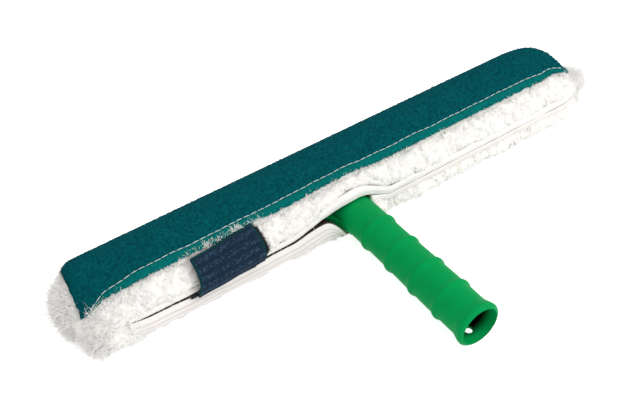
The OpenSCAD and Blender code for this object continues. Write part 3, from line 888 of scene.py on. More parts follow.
@dataclass(frozen=True)
class SleeveForm:
    """The sleeve's outside, in millimetres, as the solids of the frame have it.

    Attributes:
        play: Room between the crossbar and the pocket's end.
        shift: How far the sleeve lies off the tool's middle.
        pillow_len: Length over which an end closes round.
        bar_fit, slack: Room round the crossbar, and more of it above.
        pile_t, pile_top, pile_under: Depth of the pile behind, on top and below.
        bulge_upper, bulge_lower: How far the fleece stands out in front of the lips.
        draw_in: Height over which it folds in to a lip.
        neck_rise, neck_gap: Lift of the fleece, and distance of the lips, at the neck.
        lift_left, lift_right: Lengths over which the lips feel the neck.
        mouth_up, mouth_down: Half widths of the pocket's mouth at the neck.
        left_gap, parted, closed: Gap between the lips at the left, at the strap and to the right.
        droop_left, droop_right, droop_len: How far the front corners hang, and over which length.
        outer_sq, pocket_sq, tip_power: Powers of the squarish ovals.
        off_floor: Lowest height of the fleece's face.
        least_scale: Smallest scale at which the lips' angles are worked out.
    """

    bar_y: float = -7.0
    bar_depth: float = 36.0
    bar_h: float = 16.0
    axis_z: float = FORM_AXIS
    bar_len: float = 424.0
    play: float = 10.0
    shift: float = 8.0
    pillow_len: float = 28.0
    end_wall: float = 18.0
    slit_reach: float = 41.0
    slit_z: float = 22.0
    slit_gap: float = 0.5
    bar_fit: float = 0.7
    slack: float = 1.0
    skin: float = 1.0
    backing_t: float = 0.8
    pile_t: float = 12.4
    pile_top: float = 13.0
    pile_under: float = 13.6
    bulge_upper: float = 6.0
    bulge_lower: float = 11.0
    draw_in: float = 8.0
    lip_t: float = 4.0
    neck_rise: float = 4.5
    neck_gap: float = 0.9
    lift_left: float = 62.0
    lift_right: float = 34.0
    mouth_up: float = 38.0
    mouth_down: float = 36.0
    left_gap: float = 0.6
    parted: float = 2.4
    closed: float = 0.35
    droop_left: float = 19.0
    droop_right: float = 10.0
    droop_len: float = 50.0
    neck_len: float = 36.0
    neck_root_w: float = 34.0
    neck_root_h: float = 12.0
    neck_fade_power: float = 1.5
    grip_r: float = 15.5
    outer_sq: float = 2.5
    pocket_sq: float = 3.2
    tip_power: float = 2.5
    inner_lip_share: float = 0.72
    off_floor: float = 0.08
    least_scale: float = 0.05

    @property
    def front_y(self) -> float:
        """Front face of the crossbar."""
        return self.bar_y - self.bar_depth / 2

    @property
    def wall_x(self) -> float:
        """Distance of the pocket's end from the sleeve's middle."""
        return self.bar_len / 2 + self.play

    @property
    def tip_x(self) -> float:
        """Distance of the sleeve's tip from its middle."""
        return self.wall_x + self.end_wall

    @property
    def in_back(self) -> float:
        """Half depth of the pocket behind the bar's middle."""
        return self.bar_depth / 2 + self.bar_fit

    @property
    def in_up(self) -> float:
        """Height of the pocket above the slit."""
        return self.axis_z + self.bar_h / 2 + self.bar_fit - self.slit_z + self.slack

    @property
    def in_down(self) -> float:
        """Depth of the pocket below the slit."""
        return self.slit_z - self.axis_z + self.bar_h / 2 + self.bar_fit

    @property
    def out_back(self) -> float:
        """Half depth of the fleece behind the bar's middle."""
        return self.in_back + self.skin + self.pile_t

    @property
    def out_up(self) -> float:
        """Height of the fleece above the slit."""
        return self.in_up + self.skin + self.pile_top

    @property
    def out_down(self) -> float:
        """Depth of the fleece below the slit, before the floor presses it."""
        return self.in_down + self.skin + self.pile_under

    @property
    def out_front_up(self) -> float:
        """Reach of the fleece in front of the bar's middle, above the slit."""
        return self.slit_reach + self.bar_y + self.bulge_upper

    @property
    def out_front_down(self) -> float:
        """Reach of the fleece in front of the bar's middle, below the slit."""
        return self.slit_reach + self.bar_y + self.bulge_lower

    def from_middle(self, x: Array) -> Array:
        """Distance along the crossbar from the sleeve's middle."""
        return np.abs(x - self.shift)

    def neck_fade(self, y: Number) -> Array:
        """Share of the neck's root shape: the power of the rest of the way to the grip."""
        return (1 - clamp01((self.front_y - y) / self.neck_len)) ** self.neck_fade_power

    def neck_half_h(self, y: Number) -> Array:
        """Half height of the neck, from the grip's radius to the root's half height."""
        return mix(self.grip_r, self.neck_root_h / 2, self.neck_fade(y))

    def pull(self, x: Array, right: Optional[Number] = None) -> Array:
        """How strongly a lip feels the neck at a place along X: one less the square, to the power 1.5."""
        u = np.where(x < 0, x / self.lift_left, x / (self.lift_right if right is None else right))
        return np.maximum(0, 1 - u * u) ** 1.5

    @property
    def over(self) -> float:
        """Height of the upper lip over the neck, above the slit's own height."""
        return self.axis_z + float(self.neck_half_h(-self.slit_reach)) + self.neck_gap - self.slit_z

    @property
    def under(self) -> float:
        """Depth of the lower lip under the neck, below the slit's own height."""
        return self.slit_z - self.axis_z + float(self.neck_half_h(-self.slit_reach)) + self.neck_gap

    def lip_up(self, x: Array) -> Array:
        """Height of the upper lip above the slit's own height."""
        return mix(self.slit_gap, self.over, self.pull(x))

    def apart(self, x: Array) -> Array:
        """Gap between the lips: widest at the strap, nearly shut at the left end and to the right."""
        left = mix(self.left_gap, self.parted, rise(x, -200, 60))
        return mix(left, self.closed, rise(x, -5, 20))

    def lip_down(self, x: Array) -> Array:
        """Depth of the lower lip below the slit's own height.

        The lower flap follows the upper one, less the gap, and drops along both
        flanks of the neck: from 30 to 9 mm left of its middle and from 15 to 11 mm
        right of it. Above the slit's height the depth is negative.
        """
        beside = smooth(np.where(x < 0, (-x - 9) / 21, (x - 11) / 4))
        return mix(self.under, self.apart(x) - self.lip_up(x), beside)

    def tuck(self, x: Array) -> Array:
        """How far the lower flap folds in to its lip: less under the neck, which pushes it out."""
        return self.bulge_lower * (1 - 0.9 * bell(x, -10, 18))

    def lip_z(self, x: Array, up: Union[bool, Array]) -> Array:
        """Height of the upper lip where up is true, and of the lower one where it isn't."""
        return np.where(up, self.slit_z + self.lip_up(x), self.slit_z - self.lip_down(x))

    def end_scale(self, x: Array) -> Array:
        """The section's scale: 1 along the sleeve, falling round to 0 at each tip."""
        t = clamp01((self.from_middle(x) - self.tip_x + self.pillow_len) / self.pillow_len)
        return np.maximum(1 - t**self.tip_power, 0) ** (1 / self.tip_power)

    def squeeze(self, x: Array) -> Array:
        """Share of the plain height that the drooping front corners keep near each tip.

        It falls with the power 1.5 of the way along the drooping length.
        """
        near = clamp01((self.from_middle(x) - self.tip_x + self.droop_len) / self.droop_len) ** 1.5
        return 1 - np.where(x < self.shift, self.droop_left, self.droop_right) / self.out_up * near

    def front_weight(self, a: Array) -> Array:
        """Weight of the front quarter, above or below the slit: it rises from 80 to 140 degrees."""
        return rise(np.abs(a), 80, 60)

    def outside(self, x: Array, a: Array, grow_by: Number = 0.0) -> Array:
        """Points of the fleece's outside.

        The section is a squarish oval with its own half size on each side. The
        angle is 0 at the back, 90 on top, 180 and -180 at the slit and -90 on
        the floor. In front the oval is lifted over the neck, lowered at the
        corners and folded in to the lips by a bell curve of the height.

        Args:
            x: Place along the crossbar.
            a: Angle round the section in degrees.
            grow_by: Distance outside the plain surface.

        Returns:
            Points as an array with three values each.
        """
        x, a, grow_by = np.broadcast_arrays(x, a, grow_by)
        s = self.end_scale(x)
        up = a > 0
        c, n = np.cos(np.radians(a)), np.sin(np.radians(a))
        front = np.where(up, self.out_front_up, self.out_front_down)
        deep = np.where(c < 0, front, self.out_back) * s + grow_by
        tall = np.where(n < 0, self.out_down, self.out_up) * s + grow_by
        py, pz = deep * signed_pow(c, 2 / self.outer_sq), tall * signed_pow(n, 2 / self.outer_sq)
        w = self.front_weight(a)
        pz = pz * np.where(up, mix(1, self.squeeze(x), rise(a, 50, 70)), 1)
        z = self.slit_z + pz + np.where(up, self.neck_rise * self.pull(x) * w, 0)
        fold = np.where(up, self.bulge_upper, self.tuck(x)) * s * w * bell(z, self.lip_z(x, up), self.draw_in)
        return np.stack([x, self.bar_y + py + fold, np.maximum(z, self.off_floor)], -1)

    def pocket(self, x: Array, a: Array, grow_by: float = 0.0) -> Array:
        """Points of the pocket that holds the crossbar, a squarer oval that opens at the neck.

        Args:
            x: Place along the crossbar.
            a: Angle round the section in degrees.
            grow_by: Distance outside the pocket's face.

        Returns:
            Points as an array with three values each.
        """
        x, a = np.broadcast_arrays(x, a)
        up = a > 0
        c, n = np.cos(np.radians(a)), np.sin(np.radians(a))
        in_front = self.slit_reach + self.bar_y - self.lip_t
        py = (np.where(c < 0, in_front, self.in_back) + grow_by) * signed_pow(c, 2 / self.pocket_sq)
        pz = (np.where(up, self.in_up, self.in_down) + grow_by) * signed_pow(n, 2 / self.pocket_sq)
        near = self.pull(x, np.where(up, self.mouth_up, self.mouth_down))
        opened = self.inner_rise * near * self.front_weight(a)
        return np.stack([x, self.bar_y + py, self.slit_z + pz + np.where(up, opened, -opened)], -1)

    @property
    def inner_rise(self) -> float:
        """How far the pocket's mouth opens above and below the neck."""
        return self.under - self.in_down * self.inner_lip_share

    def lip_angle(self, part: Array, half: Number, sq: float) -> Array:
        """Angle at which an oval's half size is reached by a part of it."""
        return np.degrees(np.arcsin(np.minimum(0.98, np.maximum(part / half, 0) ** (sq / 2))))

    def outer_stops(self, x: Array) -> tuple[Array, Array]:
        """Where the lips end outside.

        Args:
            x: Place along the crossbar.

        Returns:
            The angles of the upper and of the lower lip.
        """
        s = np.maximum(self.end_scale(x), self.least_scale)
        up = np.maximum(self.slit_gap, self.lip_up(x) - self.neck_rise * self.pull(x)) / (s * self.squeeze(x))
        return (180 - self.lip_angle(up, self.out_up, self.outer_sq),
                -180 + self.lip_angle(self.lip_down(x) / s, self.out_down, self.outer_sq))

    def inner_stops(self, x: Array) -> tuple[Array, Array]:
        """Where the lips end inside.

        Args:
            x: Place along the crossbar.

        Returns:
            The angles of the upper and of the lower lip.
        """
        above, below = self.pull(x, self.mouth_up), self.pull(x, self.mouth_down)
        up = np.maximum(self.slit_gap, mix(self.slit_gap, self.over, above) - self.inner_rise * above)
        down = np.maximum(self.slit_gap, mix(self.slit_gap, self.under, below) - self.inner_rise * below)
        return (180 - self.lip_angle(up, self.in_up, self.pocket_sq),
                -180 + self.lip_angle(down, self.in_down, self.pocket_sq))

    def front_at(self, x: Array, z: Array, up: bool) -> Array:
        """Where the fleece's front stands at a height above or below the slit.

        Args:
            x: Place along the crossbar.
            z: Height.
            up: Whether the upper flap is meant.

        Returns:
            The place along Y.
        """
        s = np.maximum(self.end_scale(x), self.least_scale)
        half = (self.out_up * self.squeeze(x) if up else self.out_down) * s
        front = (self.out_front_up if up else self.out_front_down) * s
        lifted = self.neck_rise * self.pull(x) if up else 0.0
        share = clamp01(np.abs(z - self.slit_z - lifted) / half)
        fold = (self.bulge_upper if up else self.tuck(x)) * s * bell(z, self.lip_z(x, up), self.draw_in)
        return self.bar_y - front * (1 - share**self.outer_sq) ** (1 / self.outer_sq) + fold


FORM = SleeveForm()
# Angles round the section, a quarter of a degree apart
TURNS = np.linspace(180, -180, 1441)


def girths() -> Array:
    """Distance round the plain section from the upper lip to each of the TURNS, in millimetres."""
    points = FORM.outside(np.array(FORM.shift), TURNS)
    return np.concatenate([[0], np.cumsum(np.linalg.norm(np.diff(points, axis=0), axis=1))])


def girth(a: Array) -> Array:
    """Distance round the plain section from the upper lip to an angle, in millimetres."""
    return np.interp(-a, -TURNS, girths())


def even_angles(start: Array, stop: Array, share: Array) -> Array:
    """Angles at shares of the distance round the section from one angle to another."""
    return np.interp(mix(girth(start), girth(stop), share), girths(), TURNS)


def outward_normals(points: Array) -> Array:
    """A grid's normals, turned away from the sleeve's middle line.

    Args:
        points: Grid of points on the sleeve.

    Returns:
        The normal at each point.
    """
    normals = grid_normals(points)
    away = (points - [0, FORM.bar_y, FORM.slit_z]) * [0, 1, 1]
    return normals * np.sign(np.sum(normals * away, -1))[..., None]


def along_x(reach: float, pitch: float) -> Array:
    """Places along the sleeve, closer together towards both ends.

    They are the mean of an even row and of a row that follows a sine.

    Args:
        reach: Distance of the last places from the sleeve's middle.
        pitch: Mean distance from one place to the next.

    Returns:
        An odd number of places.
    """
    count = int(2 * reach / pitch) | 1
    u = np.linspace(-1, 1, count)
    return FORM.shift + reach * mix(u, np.sin(u * np.pi / 2), 0.5)


@dataclass
class ScrubPad:
    """The abrasive pad on the sleeve's top, with its one seam along the front.

    Attributes:
        reach: Distance of each end from the sleeve's middle.
        front: Distance of the front edge from the origin.
        back_z: Height of the back edge.
        corner_r, corner_right_r: Radii of the back corners, left and right.
        cut_angle, cut_right_angle: Angles to which they are cut.
        splay_left, splay_right: How far the front corners reach out beyond the ends.
        gap: Distance of its underside from the fleece.
        thick, edge_thick: Thickness of the pad, inside and at the edges.
        rim: Width of the rounded rim at the ends.
        seam_inset: Distance of the seam from the front edge.
        seam_depth, seam_width: Depth and half width of the groove that the thread pulls in.
        ragged, lint: How far the cut edge wanders, and height of the web's uneven face.
        steps, ends: Numbers of rows from front to back and of loose fibre ends.
    """

    reach: float = 229.0
    front: float = 26.0
    back_z: float = 25.0
    corner_r: float = 28.0
    corner_right_r: float = 58.0
    cut_angle: float = 70.0
    cut_right_angle: float = 84.0
    splay_left: float = 4.5
    splay_right: float = 2.5
    thick: float = 4.5
    edge_thick: float = 2.4
    gap: float = 0.3
    rim: float = 6.0
    seam_inset: float = 7.0
    seam_depth: float = 1.5
    seam_width: float = 2.2
    ragged: float = 0.5
    lint: float = 0.22
    steps: int = 92
    ends: int = 6000

    def front_angle(self) -> float:
        """Angle of the front edge round the section."""
        share = (self.front + FORM.bar_y) / FORM.out_front_up
        return 180 - np.degrees(np.arccos(share ** (FORM.outer_sq / 2)))

    def back_angle(self) -> float:
        """Angle of the back edge round the section."""
        share = (self.back_z - FORM.slit_z) / FORM.out_up
        return np.degrees(np.arcsin(share ** (FORM.outer_sq / 2)))

    def edges(self, x: Array) -> tuple[Array, Array]:
        """The pad's outline, with its back corners cut round.

        The front edge draws back by up to 5 degrees within 34 mm of each end.
        The cut is a quarter circle at the left, a power of the way at the right.

        Args:
            x: Places along the pad.

        Returns:
            The angles of the front and of the back edge.
        """
        left = x < FORM.shift
        radius = np.where(left, self.corner_r, self.corner_right_r)
        t = clamp01((FORM.from_middle(x) - self.reach + radius) / radius)
        cut = np.where(left, 1 - np.sqrt(np.maximum(0, 1 - t * t)), t**1.7)
        cut_to = np.where(left, self.cut_angle, self.cut_right_angle)
        near = clamp01((FORM.from_middle(x) - self.reach + 34) / 34)
        return self.front_angle() - 5 * np.sin(np.pi * near) ** 2, mix(self.back_angle(), cut_to, cut)

    def splay(self, x: Array, t: Array) -> Array:
        """How far the pad's ends reach out along X beyond the square cut: most at the front corners."""
        near = rise(FORM.from_middle(x), self.reach - 50, 50)
        return np.where(x < FORM.shift, -self.splay_left, self.splay_right) * near * (1 - t) ** 1.2

    def seam_at(self, x: Array) -> Array:
        """Where the seam runs: it comes up to the front edge at the left corner.

        Args:
            x: Places along the pad.

        Returns:
            Its distance from the front edge.
        """
        left = clamp01((FORM.shift - x - self.reach + 48) / 48)
        right = clamp01((x - FORM.shift - self.reach + 44) / 30)
        return self.seam_inset - 6.2 * left**1.5 - 2.6 * right

    def surface(self, x: Array, t: Array, worn: bool) -> tuple[Array, Array]:
        """The pad's upper face, and each point's distance from its front edge.

        Its height above the fleece rises from the edge's thickness to the
        pad's by the root of the way in, less a bell-shaped groove at the seam.

        Args:
            x: Places along the pad, as a column.
            t: Shares of the way from the front to the back edge, as a row.
            worn: Whether the ragged edge and the uneven face are added.

        Returns:
            The points and their distance from the front edge.
        """
        a0, a1 = self.edges(x)
        if worn:
            a0 = a0 + self.ragged * (1.6 * ripples(x, 0 * x, 5, 11) + ripples(x, 0 * x, 1.6, 12))
            a1 = a1 - 1.2 * self.ragged * ripples(x, 0 * x, 4, 13)
        a = mix(a0, a1, t)
        wide = x + self.splay(x, t)
        flat = FORM.outside(wide, a, self.gap)
        step = np.linalg.norm(np.diff(flat, axis=1), axis=-1)
        inset = np.concatenate([np.zeros((len(step), 1)), np.cumsum(step, axis=1)], 1)
        far = inset[:, -1:] - inset
        end = self.reach - FORM.from_middle(x)
        edge = np.minimum(np.minimum(inset, far), np.broadcast_to(end, inset.shape)) / self.rim
        height = mix(self.edge_thick, self.thick, np.sqrt(clamp01(edge)))
        groove = bell(inset, self.seam_at(x), self.seam_width)
        height = height - self.seam_depth * groove * clamp01(end / 3)
        if worn:
            uneven = ripples(x, inset, 2.4, 14, 16) + 0.8 * ripples(x, inset, 1.2, 15, 16)
            height = height + self.lint * uneven
        return FORM.outside(wide, a, self.gap + height), inset

    def web(self) -> Piece:
        """The pad itself, as one closed skin.

        Returns:
            The uneven upper face and a smooth underside, with the margin marked.
        """
        x = along_x(self.reach, 0.85)[:, None]
        top, inset = self.surface(x, np.linspace(0, 1, self.steps)[None], True)
        wander = self.ragged * 1.4 * ripples(top[..., 1], top[..., 2], 4, 17)
        hold = clamp01(1 - (self.reach - FORM.from_middle(x)) / 4)
        top[..., 0] += wander * hold
        a0, a1 = self.edges(x)
        t = np.linspace(1, 0, 30)[None]
        under = FORM.outside(x + self.splay(x, t), mix(a0, a1, t), self.gap)
        loops = np.concatenate([top, under], 1)
        margin = smooth((self.seam_at(x) + 0.5 - inset) / 1.5)
        margin = np.concatenate([margin, np.zeros(under.shape[:2])], 1)
        return make_piece("scrub_pad_web", loops, loft(loops, Cap.WHOLE), marks={"margin": margin})

    def fuzz(self) -> Piece:
        """Loose fibre ends along the cut edges and, thinly, on the pad's face.

        Returns:
            The fibre ends' object.
        """
        rng = np.random.default_rng(21)
        x = along_x(self.reach, 3.0)[:, None]
        t = np.linspace(0, 1, 60)[None]
        points, inset = self.surface(x, t, False)
        normals = outward_normals(points)
        far = inset[:, -1:] - inset
        edge = np.minimum(np.minimum(inset, far), self.reach - FORM.from_middle(x))
        weight = 0.03 + np.exp(-edge / 1.2) * np.where(far < inset, 2.5, 1.0)
        roots, out = scatter(points, normals, weight, self.ends, rng)
        fibre = Fibre(length=2.3, spread=0.5, radius=0.11, lean=0.0, tangle=0.75, droop=0.1)
        return grow("scrub_pad_fibre_ends", roots - 0.6 * out, out, fibre, 22)

    def seam(self) -> Piece:
        """The pale thread of the seam, laid where the surface has the seam's distance.

        Returns:
            The stitches' object.
        """
        x = np.linspace(FORM.shift - self.reach + 2, FORM.shift + self.reach - 2, 900)[:, None]
        points, inset = self.surface(x, np.linspace(0, 0.5, 120)[None], False)
        line = np.stack([[np.interp(at, row, p[:, k]) for k in range(3)]
                         for at, row, p in zip(self.seam_at(x)[:, 0], inset, points)])
        line[:, 1] += 0.35 * ripples(x[:, 0], 0 * x[:, 0], 14, 23)
        out = np.tile([0.0, -0.25, 1.0], (len(line), 1))
        return threads("scrub_pad_seam", line + 0.3 * out, out, 6.0, 0.35, 0.26)

    def build(self) -> None:
        """Builds and dresses the pad."""
        web = place(self.web(), Body.TOOL, NonWovenAbrasive(), ["scrub_pad"])
        place(self.fuzz(), Body.TOOL, NonWovenAbrasive())
        place(self.seam(), Body.TOOL, PolyesterThread())


@dataclass
class Sleeve:
    """The fleece sleeve: lining, pressed pile, standing pile and the two hem tapes.

    Attributes:
        pad: The pad, under which no pile stands.
        strap_from, strap_to, strap_top: Where the closure strap lies: its sides and its upper edge.
        ground_in: Depth of the pressed pile's face below the solid's face.
        cloth: Thickness of a hem tape's cloth.
        hem_from, hem_to: Places where the hem tapes end under the pile.
        hem_fade: Length over which they sink into it.
        tuft_h: Height of the pressed pile's tufts.
        pile: Fibres of the standing pile.
        fringe: Longer fibres of the sleeve's two ends.
        wisp: Thin single hairs that soften the outline.
        tuft: Locks that stand at the pad's front edge.
        locks, wisps, tuft_places: Numbers of locks, of single hairs and of places tried for tufts.
    """

    pad: ScrubPad
    strap_from: float = -142.0
    strap_to: float = -86.0
    strap_top: float = 29.0
    ground_in: float = 1.8
    cloth: float = 0.8
    hem_from: float = -199.0
    hem_to: float = 232.0
    hem_fade: float = 18.0
    tuft_h: float = 1.3
    pile: Fibre = Fibre(4.7, 0.35, 0.37, 1.4, 0.32, 0.05, 0.6, 0.35, 5.0, 3)
    fringe: Fibre = Fibre(5.4, 0.35, 0.25, 0.7, 0.42, 0.08, 0.42, 0.45, 6.0, 3)
    wisp: Fibre = Fibre(6.0, 0.5, 0.1, 0.5, 0.55, 0.12, 0.2)
    tuft: Fibre = Fibre(5.2, 0.45, 0.17, 0.0, 0.35, 0.14, 0.25, 0.45, 3.5)
    locks: int = 68000
    wisps: int = 8000
    tuft_places: int = 30000

    def bumps(self, x: Array, a: Array) -> Array:
        """Unevenness of the pressed pile.

        Noise at four pitches: slow swellings, soft tufts and the curls on them.

        Args:
            x: Place along the sleeve.
            a: Angle round the section in degrees.

        Returns:
            The height of each place over the plain face.
        """
        x, a = np.broadcast_arrays(x, a)
        u, v = x, girth(a)
        u, v = u + 2.5 * ripples(u, v, 17, 33), v + 2.5 * ripples(u, v, 17, 34)
        tufts = 0.55 * ripples(u, v, 9, 32) + 0.3 * ripples(u, v, 5, 35, 14) + 0.12 * ripples(u, v, 3, 36, 14)
        return 0.8 * ripples(u, v, 28, 31) + self.tuft_h * tufts

    def kept(self, x: Array) -> Array:
        """Share of the unevenness that is kept: all along the sleeve and none at its tips."""
        return rise(FORM.end_scale(x), 0.2, 0.4)

    def outer_grid(self, reach: float, rows: float, cols: int, grow_by: float) -> tuple[Array, Array, Array]:
        """The pile's face as a grid, smooth along the lips.

        Args:
            reach: Distance of the grid's ends from the sleeve's middle.
            rows: Mean distance from row to row.
            cols: Number of points from the upper to the lower lip.
            grow_by: Distance of the face outside the plain surface.

        Returns:
            The places along the sleeve, the angles and the points.
        """
        x = along_x(reach, rows)[:, None]
        top, low = FORM.outer_stops(x)
        a = even_angles(top, low, np.linspace(0, 1, cols)[None])
        at_lips = smooth(np.abs(girth(a) - girth(top)) / 8) * smooth(np.abs(girth(a) - girth(low)) / 8)
        points = FORM.outside(x, a, grow_by + self.bumps(x, a) * self.kept(x) * at_lips)
        return np.broadcast_to(x, a.shape), a, points

    def ground(self) -> Piece:
        """The pressed pile under the standing locks: a tube slit in front and two closed ends.

        Returns:
            The three skins as one object.
        """
        _, _, outer = self.outer_grid(FORM.wall_x, 1.4, 180, -self.ground_in)
        x = along_x(FORM.wall_x, 1.4)[:, None]
        up, down = FORM.inner_stops(x)
        inner = FORM.pocket(x, mix(down, up, np.linspace(0, 1, 50)[None]), FORM.skin)
        tube = np.concatenate([outer, inner], 1)
        parts = [(tube, loft(tube, Cap.WHOLE))]
        for side in (-1, 1):
            t = np.linspace(0, 1, 24)[:, None]
            ends = FORM.shift + side * (FORM.wall_x - 1 + (FORM.end_wall + 0.6) * np.sin(t * np.pi / 2))
            a = even_angles(np.array(180.0), np.array(-180.0), np.linspace(0, 1, 181)[None, :-1])
            lift = self.bumps(ends, a) * self.kept(ends)
            end = FORM.outside(ends, a, -self.ground_in * FORM.end_scale(ends) + lift)
            parts.append((end, loft(end, Cap.WHOLE)))
        return make_piece("pile_ground", *joined(parts))

    def lining(self) -> Piece:
        """The woven lining round the crossbar, from lip to lip.

        Returns:
            The lining's object.
        """
        x = along_x(FORM.wall_x - 1, 6.0)[:, None]
        up, down = FORM.inner_stops(x)
        share = np.linspace(0, 1, 70)[None]
        outer = FORM.pocket(x, mix(up, down, share), FORM.backing_t)
        inner = FORM.pocket(x, mix(down, up, share), 0.1)
        loops = np.concatenate([outer, inner], 1)
        return make_piece("pocket_lining", loops, loft(loops, Cap.STRIP))

    def clear_of(self, x: Array, a: Array, points: Array) -> Array:
        """Density of the standing pile: none under the pad, the hem tapes and the strap.

        Args:
            x: Places along the sleeve.
            a: Angles round the section.
            points: The points at those places and angles.

        Returns:
            1 on the plain sleeve, more at its ends and less where it is pressed on the floor.
        """
        front, back = self.pad.edges(x)
        under_pad = (a < front - 2) & (a > back + 3) & (FORM.from_middle(x) < self.pad.reach + 1.5)
        band = np.where(a > 0, self.tape_height(x, True) - 1.2, self.tape_height(x, False) - 0.7)
        over_lip = np.abs(points[..., 2] - FORM.lip_z(x, a > 0))
        taped = (np.abs(a) > 90) & (over_lip < band * self.tape_ends(x))
        strapped = (x > self.strap_from + 2) & (x < self.strap_to - 1) & (a > 100)
        strapped &= points[..., 1] < -self.strap_top + 1
        pressed = points[..., 2] < 0.5
        crowd = np.where(pressed, 0.2, 1.0) + 1.2 * rise(FORM.from_middle(x), 218, 10)
        return np.where(under_pad | taped | strapped, 0.0, crowd)

    def roots(self, count: int, seed: int) -> tuple[Array, Array, Array]:
        """Roots of the pile, drawn over the whole sleeve.

        The pile is combed in slow swirls, a little downwards, and less at the ends.

        Args:
            count: Number of roots.
            seed: Start of the random draw.

        Returns:
            The roots, the ways out of the cloth and the ways in which the pile is combed.
        """
        rng = np.random.default_rng(seed)
        x, a, points = self.outer_grid(FORM.tip_x - 0.3, 2.5, 150, -self.ground_in)
        splayed = np.sign(x - FORM.shift) * 1.5 * smooth((FORM.from_middle(x) - FORM.wall_x + 6) / 16)
        normals = unit(outward_normals(points) + np.stack([splayed, 0 * x, 0 * x], -1))
        place_at, out = scatter(points, normals, self.clear_of(x, a, points), count, rng)
        swirl = np.pi * ripples(place_at[:, 0], place_at[:, 1] + place_at[:, 2], 30, seed + 1)
        comb = np.stack([np.cos(swirl), 0.4 * np.sin(swirl), np.sin(swirl) - 0.4], -1)
        comb = unit(comb - np.sum(comb * out, -1, keepdims=True) * out)
        return place_at, out, comb * (1 - 0.8 * rise(FORM.from_middle(place_at[:, :1]), 222, 14))

    def reach_factor(self, roots: Array) -> Array:
        """Length of the pile over the sleeve, as a share of the fibre's own length.

        Longer behind, at both ends, in a lobe at the left and at the far right
        corner; shorter low in front, in a notch at the left and behind at the right.

        Args:
            roots: Places of the roots.

        Returns:
            The factor for each root, at least 0.35.
        """
        x, y, z = roots.T
        behind = rise(y, 5, 18) * fall(z, 38, 20)
        low = fall(y, -20, 20) * fall(z, 20, 8)
        low = low * np.interp(x, (5, 25, 190, 210), (-0.6, 0.05, 0.05, -0.65))
        low = mix(low, 0.3, fall(x, -172, 20))
        ends = rise(FORM.from_middle(x), 222, 16) * mix(0.6, 1.0, fall(z, 22, 10))
        notch = bell(y, -21, 6) * fall(x, -218, 8)
        lobe = bell(y, -40, 6) * fall(x, -206, 12) * fall(z, 18, 8)
        rear_right = rise(x, 215, 12) * rise(y, -20, 8) * rise(z, 12, 8)
        far_corner = rise(x, 236, 8) * (rise(z, 14, 10) - 0.35) * (1 - rear_right)
        longer = 1 + 1.1 * behind + low + 1.5 * ends + 6.0 * far_corner + 1.3 * lobe
        factor = longer - 1.8 * notch - 1.6 * rear_right + 0.15 * ripples(x, y + z, 16, 41)
        return np.maximum(0.35, factor)

    def standing(self) -> list[Piece]:
        """The standing pile in strips along the sleeve, then its thin single hairs.

        Returns:
            The object of each strip, and that of the hairs.
        """
        roots, out, comb = self.roots(self.locks, 51)
        factor = self.reach_factor(roots)
        bounds = np.concatenate([[-FORM.tip_x], np.linspace(-220, 220, 9), [FORM.tip_x]]) + FORM.shift
        names = ("left_end", "a", "b", "c", "d", "e", "f", "g", "h", "right_end")
        made = []
        for k, name in enumerate(names):
            here = (roots[:, 0] >= bounds[k]) & (roots[:, 0] < bounds[k + 1])
            kind = self.fringe if name.endswith("end") else self.pile
            made.append(grow(f"standing_pile_{name}", roots[here] - 0.5 * out[here], out[here], kind, 60 + k,
                             factor[here], comb[here], 1 - 0.3 * rise(factor[here], 1.3, 1.2)))
        roots, out, comb = self.roots(self.wisps, 71)
        made.append(grow("pile_wisps", roots, out, self.wisp, 72, self.reach_factor(roots), comb))
        return made

    def tufts(self) -> Piece:
        """Locks that stand up in front of the pad's front edge and lie over its margin.

        Most of them, and the longest, stand above the strap.

        Returns:
            The locks' object.
        """
        rng = np.random.default_rng(81)
        reach = self.pad.reach - 3
        places = rng.uniform(FORM.shift - reach, FORM.shift + reach, self.tuft_places)
        crowd = 0.3 + 0.35 * (ripples(places, 0 * places, 22, 82) > 0.1) + 2.4 * bell(places, -108, 32)
        places = places[rng.random(len(places)) < crowd / 3.1]
        beside_tab = bell(places, -108, 32)
        near = 0.65 + 0.25 * ripples(places, 0 * places, 9, 84) + 0.65 * beside_tab
        at_tab = (places > self.strap_from - 2) & (places < self.strap_to + 2)
        edge = self.pad.edges(places)[0] + np.where(at_tab, 1.8, 6.0) * rng.random(len(places)) - 1
        roots = FORM.outside(places, edge, rng.uniform(-0.5, 1.5, len(places)))
        sideways, back = rng.normal(0, 0.25, len(places)), rng.uniform(0.0, 1.2, len(places))
        way = np.stack([sideways, back, np.full(len(places), 1.0)], -1)
        return grow("pad_edge_tufts", roots, unit(way), self.tuft, 83, near, widths=1 + 0.6 * beside_tab)

    def tape_height(self, x: Array, up: bool) -> Array:
        """Height of the tape that the pile leaves bare: tall over the neck, low where the pile covers it."""
        if up:
            return mix(2.8, 5.6, rise(x, -20, 30)) + 2.8 * bell(x, -20, 20)
        return mix(7.6, 2.2, rise(x, 10, 16))

    def tape_ends(self, x: Array) -> Array:
        """1 along the tapes, falling to 0 at both ends."""
        return rise(x, self.hem_from, self.hem_fade) * fall(x, self.hem_to, self.hem_fade)

